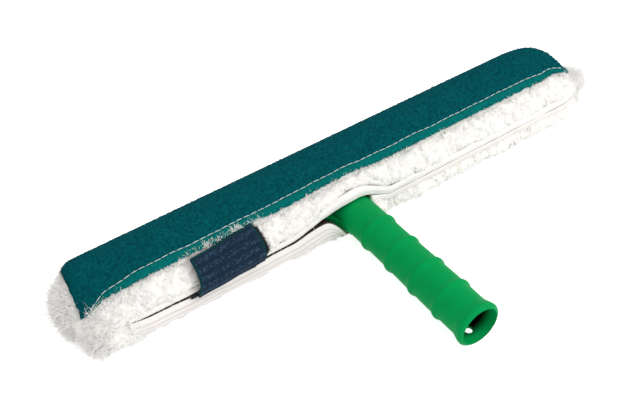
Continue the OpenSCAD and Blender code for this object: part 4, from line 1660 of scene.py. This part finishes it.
    def hem(self, up: bool) -> tuple[Piece, Array]:
        """One hem tape and the line of its stitches.

        The upper tape is a soft roll, the lower one flat with two pressed lines.
        Both dip under the pile at their outer edge and fold back into the slit.
        Slow noise puckers them, and their ends sink into the pile.

        Args:
            up: Whether the upper tape is built.

        Returns:
            The tape's object, and the points along its sewn line.
        """
        x = np.linspace(self.hem_from, self.hem_to, 300)[:, None]
        t = np.linspace(0, 1, 34)[None] ** 1.3
        z = FORM.lip_z(x, up) + (1 if up else -1) * (self.tape_height(x, up) + 1.6) * t
        pucker = 0.2 * ripples(x, 0 * x, 24, 91 + up) + 0.08 * ripples(x, z, 9, 93)
        if up:
            roll = np.sqrt(clamp01(1 - ((t - 0.42) / 0.58) ** 2))
            sunk, line, worn, shown = 0.5, 0.0, 0.0 * z, 1.0
        else:
            roll = np.where(t > 0.14, 1.0, np.sqrt(clamp01(1 - (1 - t / 0.14) ** 2)))
            sunk, line = 0.3, 0.35 * bell(t, 0.45, 0.035) + 0.3 * bell(t, 0.7, 0.03)
            # worn: where grey shade is painted, along the two pressed lines and more towards the lower edge
            worn = 0.75 * bell(t, 0.45, 0.05) + 0.6 * bell(t, 0.7, 0.04) + 0.5 * t + 0 * z
            shown = rise(np.abs(x + 3), 14, 10)
        proud = 1.5 * roll + pucker - sunk - 1.2 * t**5 - line - 1.8 * (1 - self.tape_ends(x))
        face = FORM.front_at(x, np.maximum(z, 0.3), up) - proud
        back = face + self.cloth + 2.6 * clamp01(1 - t / 0.3) ** 2
        wide, tall = np.broadcast_to(x, z.shape), np.maximum(z, 0.2)
        outer = np.stack([wide, face, tall], -1)
        loops = np.concatenate([outer, np.stack([wide, back, tall], -1)[:, ::-1]], 1)
        # fold: where the slit's dark shade is painted, weaker right of the neck and none under it
        fold = np.concatenate([fall(t, 0.05, 0.03) + 0 * z, (fall(t, 0.45, 0.1) + 0 * z)[:, ::-1]], 1)
        fold = fold * mix(1.0, 0.45, rise(x, 14, 12)) * shown
        marks = {"fold": fold, "worn": np.concatenate([worn, 0 * worn], 1)}
        uv = np.stack([loops[..., 0], loops[..., 2]], -1)
        name = "upper_hem_binding" if up else "lower_hem_binding"
        sewn = outer[4:-4, 23] + [0, -0.05, 0]
        return make_piece(name, loops, loft(loops, Cap.STRIP), uv=uv, marks=marks), sewn

    def build(self) -> None:
        """Builds and dresses the sleeve."""
        ground = place(self.ground(), Body.TOOL, PileGround(),
                       ["sleeve_fleece", "left_sleeve_end", "right_sleeve_end"])
        lining = place(self.lining(), Body.TOOL, LiningWeave(), ["sleeve_backing"])
        for up, node in ((True, "upper_hem_tape"), (False, "lower_hem_tape")):
            tape, line = self.hem(up)
            place(tape, Body.TOOL, FilamentTape(), [node])
            out = np.tile([0.0, -1.0, 0.2], (len(line), 1))
            name = "upper_hem_seam" if up else "lower_hem_seam"
            place(threads(name, line, out, 2.6, 0.9, 0.14), Body.TOOL, FilamentTape())
        for piece in [*self.standing(), self.tufts()]:
            place(piece, Body.TOOL, KnittedPileFibre())


@dataclass
class Closure:
    """The closure strap with its hook patch, and the parts of it that stay on the sleeve.

    Attributes:
        left, right, top_reach: Sides of the strap, and reach of its upper edge in front.
        touch: Gap between two layers.
        hem_t, foot_gap: What the strap's foot passes over at the slit.
        inset, peek: How far the patches stay inside the strap, and the hooks look out of it.
        hem_h: Height of the upper hem tape, above which the patches begin.
        tilt: Change of the upper edge's reach from its middle to its right side.
        tail_from, tail_to: Places along Y between which the sewn tail lies.
    """

    left: float = -142.0
    right: float = -86.0
    top_reach: float = 29.0
    thick: float = 1.6
    touch: float = 0.3
    hem_t: float = 1.4
    foot_gap: float = 1.2
    loop_t: float = 1.0
    hook_t: float = 1.2
    inset: float = 3.0
    peek: float = 2.5
    hem_h: float = 6.0
    corner_r: float = 1.6
    tilt: float = -2.4
    tail_from: float = -44.6
    tail_to: float = -30.7

    def layer(self, x: Array, t: Array, grow_by: Number, foot_z: float, ease: float, top: float) -> Array:
        """Points of a layer over the upper fleece, at a share of the way to its upper edge.

        The angle runs from where the oval has the foot's height to where it has
        the upper edge's reach, and the foot is eased in to the slit.

        Args:
            x: Places along the sleeve.
            t: Shares of the way up.
            grow_by: Distance of the layer outside the fleece.
            foot_z: Height of its foot.
            ease: How far the foot is drawn in besides the fleece's own fold.
            top: Reach of its upper edge in front of the origin.

        Returns:
            The points.
        """
        sq = FORM.outer_sq
        front, tall = FORM.out_front_up + grow_by, FORM.out_up + grow_by
        top_share = (1 - clamp01((top + FORM.bar_y) / front) ** sq) ** (1 / sq)
        foot_share = (foot_z - FORM.slit_z) / tall
        foot_a, top_a = (np.degrees(np.arcsin(share ** (sq / 2))) for share in (foot_share, top_share))
        a = 180 - mix(foot_a, top_a, t)
        y = FORM.bar_y + front * signed_pow(np.cos(np.radians(a)), 2 / sq)
        z = FORM.slit_z + tall * np.sin(np.radians(a)) ** (2 / sq)
        y = y + (FORM.bulge_upper + ease) * bell(z, FORM.slit_z + FORM.slit_gap, FORM.draw_in)
        x, y, z = np.broadcast_arrays(x, y, z)
        return np.stack([x, y, z], -1)

    @property
    def offsets(self) -> dict[str, float]:
        """Distances of the stacked layers from the fleece."""
        loop_in = self.touch
        hook_in = loop_in + self.loop_t + self.touch
        return {"loop_in": loop_in, "loop_out": loop_in + self.loop_t, "hook_in": hook_in,
                "hook_out": hook_in + self.hook_t, "strap_in": hook_in + self.hook_t + self.touch / 2}

    def askew(self, points: Array, x: Array, t: Array) -> Array:
        """The strap as it was pressed on, a little turned: its foot hangs lower at the left.

        Args:
            points: The strap's points.
            x: Their places along the sleeve.
            t: Their shares of the way up.

        Returns:
            The points moved left, out and down by powers of the way to the foot.
        """
        left = clamp01((self.right - x) / (self.right - self.left))
        foot = (1 - t) ** 3 * left
        return points + np.stack([-3.0 * (1 - t) ** 1.5 * left, -0.9 * foot, -3.2 * foot], -1)

    def plate(self, name: str, x0: float, x1: float, inner: float, outer: float, foot_z: float,
              ease: float, top: float, cols: int = 40, rows: int = 36, ripple: float = 0.0,
              tilt: float = 0.0) -> Piece:
        """A piece of webbing with softly rounded edges and corners, as one closed skin.

        Args:
            name: Name of the piece.
            x0, x1: Its left and its right side.
            inner, outer: Distances of its underside and its face from the fleece.
            foot_z, ease: Height of its foot, and how far that is drawn in to the slit.
            top: Reach of its upper edge.
            cols, rows: Numbers of columns and rows.
            ripple: Height of its slow waves, 0 for a plain piece without a weave.
            tilt: How far its upper edge turns, 0 for a piece that lies straight.

        Returns:
            The piece, with its selvedges marked.
        """
        u = np.linspace(0, 1, cols)[:, None]
        t = np.linspace(0, 1, rows)[None]
        length = 34.0
        down, above = t * length, (1 - t) * length
        near = np.minimum(np.minimum(down, above), self.corner_r)
        cut = self.corner_r - np.sqrt(np.maximum(self.corner_r**2 - (self.corner_r - near) ** 2, 0))
        x = mix(x0 + cut, x1 - cut, u)
        side = np.minimum(x - x0, x1 - x)
        edge = np.minimum(np.minimum(side, down), above)
        full = np.sqrt(clamp01(1 - (1 - clamp01(edge / 1.1)) ** 2))
        middle, half = (inner + outer) / 2, (outer - inner) / 2
        wave = ripple * ripples(x, down, 26, 101)
        top = top + tilt * (2 * (x - self.left) / (self.right - self.left) - 1)
        weave = 0.06 * np.sin(2 * np.pi * x / 1.4) * np.sin(2 * np.pi * down / 1.4) if ripple else 0.0
        bulk = half * (0.25 + 0.75 * full)
        front = self.layer(x, t, middle + bulk + wave + weave, foot_z, ease, top)
        back = self.layer(x, t, middle - bulk + wave, foot_z, ease, top)
        if tilt:
            front, back = self.askew(front, x, t), self.askew(back, x, t)
        loops = np.concatenate([front, back[:, ::-1]], 1)
        rim = fall(edge, 2.4, 1.2) * (down > 2.4)
        flat = np.stack([x, down + 0 * x, rim], -1)
        both = np.concatenate([flat, flat[:, ::-1]], 1)
        return make_piece(name, loops, loft(loops, Cap.STRIP), uv=both[..., :2], marks={"edge": both[..., 2]})

    def strap(self) -> Piece:
        """The navy webbing that closes over the upper lip.

        Returns:
            The strap's object.
        """
        inner = self.offsets["strap_in"]
        ease = inner - (self.touch + self.hem_t + self.foot_gap)
        return self.plate("closure_webbing", self.left, self.right, inner, inner + self.thick,
                          FORM.slit_z + FORM.slit_gap, ease, self.top_reach, 150, 100, 0.35, self.tilt)

    def patch(self, name: str, inner: str, outer: str, right: float, tilt: float = 0.0) -> Piece:
        """The loop patch on the flap or the hook patch on the strap."""
        foot = FORM.slit_z + FORM.slit_gap + self.hem_h + self.touch
        return self.plate(name, self.left + self.inset, right, self.offsets[inner], self.offsets[outer],
                          foot, 0.0, self.top_reach + self.inset, tilt=tilt)

    def nap(self, name: str, x0: float, x1: float, grow_by: float, count: int, seed: int) -> Piece:
        """Short black loops or hooks that stand out of a patch's free edge.

        Args:
            name: Name of the piece.
            x0, x1: Left and right side of the edge.
            grow_by: Distance of the roots from the fleece.
            count: Number of hooks.
            seed: Start of the random draws.

        Returns:
            The hooks' object.
        """
        rng = np.random.default_rng(seed)
        x = rng.uniform(x0, x1, count)
        t = rng.uniform(0.15, 1.0, count)
        roots = self.layer(x, t, grow_by, FORM.slit_z + 7, 0.0, self.top_reach + 2)
        out = unit(np.stack([np.full(count, 0.9), -np.ones(count) * 0.4, np.full(count, 0.5)], -1))
        return grow(name, roots, out, Fibre(1.5, 0.4, 0.16, 0.0, 0.5, 0.1), seed + 1)

    def tail(self) -> Piece:
        """The strap's sewn end, which lies in the slit and shows at its lower left.

        Returns:
            The tail's object, thin inside and thicker and lower where it comes out.
        """
        x = np.linspace(self.left - 8, self.right - 8, 30)[:, None]
        y = np.linspace(self.tail_from, self.tail_to, 24)[None]
        edge = np.minimum(np.minimum(x - x[0], x[-1] - x), np.minimum(y - self.tail_from, 2 + 0 * y))
        out = fall(y, -40.8, 3.4)
        half = mix(0.22, 0.8, out) * (0.3 + 0.7 * np.sqrt(clamp01(edge / 0.8)))
        z = FORM.slit_z - 1.1 * out
        x, y = np.broadcast_arrays(x, y)
        top = np.stack([x, y, z + half], -1)
        low = np.stack([x, y, z - half], -1)[:, ::-1]
        loops = np.concatenate([top, low], 1)
        return make_piece("closure_tail", loops, loft(loops, Cap.STRIP))

    def build(self) -> None:
        """Builds and dresses the closure."""
        black = NylonHookAndLoop()
        strap = place(self.strap(), Body.CLOSURE, JacquardWebbing(), ["closure_strap"])
        hook = self.patch("hook_pad", "hook_in", "hook_out", self.right + self.peek, self.tilt)
        place(hook, Body.CLOSURE, black, ["hook_patch"])
        hooks = self.nap("hook_points", self.right - 0.5, self.right + self.peek,
                         self.offsets["hook_out"], 420, 111)
        place(hooks, Body.CLOSURE, black)
        loop = self.patch("loop_pad", "loop_in", "loop_out", self.right - self.inset)
        place(loop, Body.TOOL, black, ["loop_patch"])
        place(self.tail(), Body.TOOL, black, ["strap_tail"])


@dataclass
class Handle:
    """The moulded handle: rolled mouth, ringed grip, neck, side webs and tongue.

    Attributes:
        mouth, lead_in, socket: Distance of the mouth from the origin, and lengths inside it.
        ring_first, ring_pitch, rings, ring_h, ring_len: Place, spacing, number and size of the rings.
        root_sq, root_right: Power of the root's oval, and half its width at the right.
        near_r, far_r: Radii of the grip at the neck and at the mouth.
        web_r, web_right_r, web_t, web_drop, web_sunk: Radii, thickness and place of the side webs.
        tongue: Width, depth and height of the tongue in the crossbar.
        lock_r, lock_inset: Radius of the lock hole, and its distance from the mouth.
        around: Number of points round the handle.
    """

    mouth: float = 186.0
    lead_in: float = 6.5
    socket: float = 112.0
    socket_r: float = 13.6
    mouth_r: float = 15.6
    lip_r: float = 18.6
    lip_len: float = 13.0
    ring_first: float = 70.0
    ring_pitch: float = 28.0
    rings: int = 4
    ring_h: float = 1.4
    ring_len: float = 10.0
    root_sq: float = 2.8
    root_right: float = 15.2
    near_r: float = 14.8
    far_r: float = 16.4
    web_r: float = 30.0
    web_right_r: float = 15.0
    web_t: float = 7.0
    web_drop: float = 3.0
    web_sunk: float = 1.5
    tongue: tuple[float, float, float] = (46.0, 26.0, 7.0)
    lock_r: float = 3.5
    lock_inset: float = 11.5
    around: int = 128

    def outside(self) -> Array:
        """Loops of the neck and the grip, from the crossbar's face to the mouth.

        The neck is a squarish oval that turns round towards the grip. The grip
        widens a little towards the mouth, and each ring adds half its height
        times one plus a cosine.

        Returns:
            The loops from the crossbar out to the mouth and back in to the socket's end.
        """
        turn = np.radians(np.arange(self.around) * 360 / self.around)[None]
        y = FORM.front_y + 2 - np.linspace(0, FORM.neck_len + 2, 40)[:, None]
        fade = FORM.neck_fade(np.minimum(y, FORM.front_y))
        sq = mix(2.0, self.root_sq, fade)
        w, h = mix(self.near_r, FORM.neck_root_w / 2, fade), mix(self.near_r, FORM.neck_root_h / 2, fade)
        w = np.where(np.cos(turn) > 0, mix(self.near_r, self.root_right, fade), w)
        px, pz = w * signed_pow(np.cos(turn), 2 / sq), h * signed_pow(np.sin(turn), 2 / sq)
        neck = np.stack([px, np.broadcast_to(y, px.shape), FORM.axis_z + pz], -1)
        bead = (self.lip_r - self.mouth_r) / 2
        flare = self.mouth - self.lip_len
        reach = np.linspace(FORM.neck_len - FORM.front_y + 1, self.mouth - 2 * bead, 150)
        swell = np.zeros_like(reach)
        for i in range(self.rings):
            d = reach - self.ring_first - i * self.ring_pitch
            swell += np.where(np.abs(d) < self.ring_len / 2,
                              self.ring_h * (1 + np.cos(2 * np.pi * d / self.ring_len)) / 2, 0)
        base = mix(self.near_r, self.far_r, smooth((reach - 70) / 95))
        radius = base + swell + (self.lip_r - base) * smooth((reach - flare) / (self.lip_len - 2 * bead))
        roll = np.radians(np.linspace(0, 180, 14))[1:]
        reach = np.concatenate([reach, self.mouth - 2 * bead + 2 * bead * np.sin(roll / 2)])
        radius = np.concatenate([radius, self.lip_r - bead + bead * np.cos(roll)])
        start = self.mouth - self.lead_in
        inner_at = [self.mouth - 1.5, start, start - 20, start - self.socket + 0.6, start - self.socket]
        inner_r = [self.mouth_r - 0.35, self.socket_r, self.socket_r, self.socket_r, self.socket_r - 0.6]
        reach, radius = np.concatenate([reach, inner_at]), np.concatenate([radius, inner_r])
        px, pz = radius[:, None] * np.cos(turn), radius[:, None] * np.sin(turn)
        grip = np.stack([px, np.broadcast_to(-reach[:, None], px.shape), FORM.axis_z + pz], -1)
        return np.concatenate([neck, grip])

    def slab(self, outline: Array, low: float, high: float) -> tuple[Array, list[Array]]:
        """A flat outline in X and Y carried up from one height to another."""
        loops = np.stack([np.column_stack([outline, np.full(len(outline), z)]) for z in (low, high)])
        return loops, loft(loops, Cap.WHOLE)

    def web_outline(self) -> Array:
        """The two side webs seen from above: quarter-circle fillets from the neck to the crossbar.

        The right one stays behind the lips, as in the photograph.

        Returns:
            The corners of the outline, right side first.
        """
        inner = FORM.grip_r - self.web_sunk
        turn = np.radians(np.linspace(0, 84, 24))
        sides = []
        for side, radius in ((1, self.web_right_r), (-1, self.web_r)):
            x = inner + radius - radius * np.cos(turn)
            y = FORM.front_y - radius + radius * np.sin(turn)
            outline = np.column_stack([x, y])
            sides.append(np.concatenate([outline, [[x[-1], FORM.front_y + 0.5]]]) * [side, 1])
        return np.concatenate([sides[0], sides[1][::-1]])

    def cut(self, body: Piece, tool: Piece, operation: str) -> None:
        """Joins a tool piece to the body or cuts it out, then removes it.

        Args:
            body: The piece that is worked on.
            tool: The piece that is used up.
            operation: UNION or DIFFERENCE.
        """
        step = body.modifiers.new(operation.lower(), "BOOLEAN")
        step.operation, step.object, step.solver = operation, tool, "EXACT"
        bpy.context.view_layer.objects.active = body
        bpy.ops.object.modifier_apply(modifier=step.name)
        bpy.data.objects.remove(tool)

    def body(self) -> Piece:
        """The moulding as one closed skin with its webs, its tongue and the lock hole.

        Returns:
            The handle's object.
        """
        loops = self.outside()
        body = make_piece("handle_moulding", loops, loft(loops, Cap.WHOLE))
        mid, half = FORM.axis_z - self.web_drop, self.web_t / 2
        webs = make_piece("webs", *self.slab(self.web_outline(), mid - half, mid + half), False)
        wide, deep, tall = self.tongue
        box = np.array([[-wide / 2, FORM.front_y - 6], [wide / 2, FORM.front_y - 6],
                        [wide / 2, FORM.front_y + deep], [-wide / 2, FORM.front_y + deep]])
        tongue = make_piece("tongue", *self.slab(box, FORM.axis_z - tall / 2, FORM.axis_z + tall / 2), False)
        self.cut(body, webs, "UNION")
        self.cut(body, tongue, "UNION")
        turn = np.radians(np.arange(48) * 360 / 48)
        ring = self.lock_r * np.column_stack([np.cos(turn), np.sin(turn)]) + [0, self.lock_inset - self.mouth]
        hole = make_piece("hole", *self.slab(ring, FORM.axis_z - 2 * FORM.grip_r, FORM.axis_z), False)
        self.cut(body, hole, "DIFFERENCE")
        body.data.polygons.foreach_set("use_smooth", np.ones(len(body.data.polygons), bool))
        body.data.set_sharp_from_angle(angle=np.radians(32))
        return body

    def build(self) -> None:
        """Builds and dresses the handle, and dresses the crossbar and the screws of the frame."""
        green = MouldedPolypropylene()
        place(self.body(), Body.TOOL, SocketShadedPolypropylene(), ["handle"])
        green.dress(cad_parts["crossbar"])
        ZincPlatedSteel().dress(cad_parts["handle_screws"])


@dataclass
class Studio:
    """Plain white floor, soft light from above and the photograph's camera."""

    eye: tuple[float, float, float] = (-0.44677, -0.60744, 0.71128)
    aim: tuple[float, float, float] = (-0.00421, -0.00069, -0.00416)
    lens: float = 73.2
    sensor: float = 36.0
    floor_half: float = 6.0
    key_at: tuple[float, float, float] = (0.9, -1.2, 1.35)
    key_size: float = 1.3
    key_power: float = 17.0
    world_level: float = 0.8
    floor_glow: float = 0.7

    def stand(self, data: bpy.types.ID, at: Sequence[float], aim: Sequence[float]) -> Piece:
        """Stands a camera or a lamp at a place and points it.

        Args:
            data: The camera or the lamp.
            at: Its place in metres.
            aim: The place that it looks at.

        Returns:
            Its object, linked to the scene.
        """
        stood = bpy.data.objects.new(data.name, data)
        stood.location = at
        stood.rotation_euler = (Vector(aim) - Vector(at)).to_track_quat("-Z", "Y").to_euler()
        bpy.context.scene.collection.objects.link(stood)
        return stood

    def camera(self) -> None:
        """The camera at the photograph's viewing angle, level, with no shift."""
        data = bpy.data.cameras.new("photo_camera")
        data.lens, data.sensor_width, data.clip_start = self.lens, self.sensor, 0.02
        bpy.context.scene.camera = self.stand(data, self.eye, self.aim)

    def softbox(self) -> None:
        """A square softbox that points at the tool."""
        data = bpy.data.lights.new("key_softbox", "AREA")
        data.shape, data.size, data.energy = "SQUARE", self.key_size, self.key_power
        self.stand(data, self.key_at, (0, 0, 0))

    def seen_rays(self, tree: Tree) -> Socket:
        """1 for rays from the camera and for rays that a gloss or a clear surface sends on.

        Args:
            tree: Nodes of the floor or of the sky.

        Returns:
            The value's socket.
        """
        path = add_node(tree, "ShaderNodeLightPath")
        gloss = add_node(tree, "ShaderNodeMath", {"operation": "MAXIMUM"},
                         {0: path.outputs["Is Camera Ray"], 1: path.outputs["Is Glossy Ray"]})
        return add_node(tree, "ShaderNodeMath", {"operation": "MAXIMUM"},
                        {0: gloss.outputs["Value"], 1: path.outputs["Is Transmission Ray"]}).outputs["Value"]

    def floor(self) -> None:
        """A white floor that shows white to the camera and keeps the tool's soft shadow."""
        r = self.floor_half / MM
        corners = np.array([[-r, -r, 0], [r, -r, 0], [r, r, 0], [-r, r, 0]], float)
        floor = make_piece("studio_floor", corners, [np.array([[0, 1, 2, 3]])], False)
        paint = bpy.data.materials.new("MattPaintedFloor")
        paint.use_nodes = True
        tree = paint.node_tree
        tree.nodes.clear()
        matt = add_node(tree, "ShaderNodeBsdfDiffuse", {"Color": linear("#fafafa")})
        glow = add_node(tree, "ShaderNodeMath", {"operation": "MULTIPLY", 1: self.floor_glow},
                        {0: self.seen_rays(tree)})
        light = add_node(tree, "ShaderNodeEmission", links={"Strength": glow.outputs["Value"]})
        both = add_node(tree, "ShaderNodeAddShader",
                        links={0: matt.outputs["BSDF"], 1: light.outputs["Emission"]})
        add_node(tree, "ShaderNodeOutputMaterial", links={"Surface": both.outputs["Shader"]})
        floor.data.materials.append(paint)

    def sky(self) -> None:
        """Even white light from all round, which the camera sees as pure white."""
        world = bpy.data.worlds.new("white_studio")
        bpy.context.scene.world = world
        world.use_nodes = True
        tree = world.node_tree
        tree.nodes.clear()
        level = add_node(tree, "ShaderNodeMapRange", {"To Min": self.world_level, "To Max": 1.0},
                         {"Value": self.seen_rays(tree)})
        light = add_node(tree, "ShaderNodeBackground", {"Color": linear("#ffffff")},
                         {"Strength": level.outputs["Result"]})
        add_node(tree, "ShaderNodeOutputWorld", links={"Surface": light.outputs["Background"]})

    def build(self) -> None:
        """Sets up camera, softbox, floor and sky."""
        self.camera()
        self.softbox()
        self.floor()
        self.sky()
        bpy.context.scene.view_settings.view_transform = "Standard"
        log.info("studio: camera %.1f mm, one softbox and an even sky", self.lens)


def main() -> None:
    """Builds the studio and every sub-assembly."""
    logging.basicConfig(level=logging.INFO, format="%(name)s: %(message)s")
    Studio().build()
    pad = ScrubPad()
    pad.build()
    Sleeve(pad=pad).build()
    Closure().build()
    Handle().build()


if __name__ == "__main__":
    main()
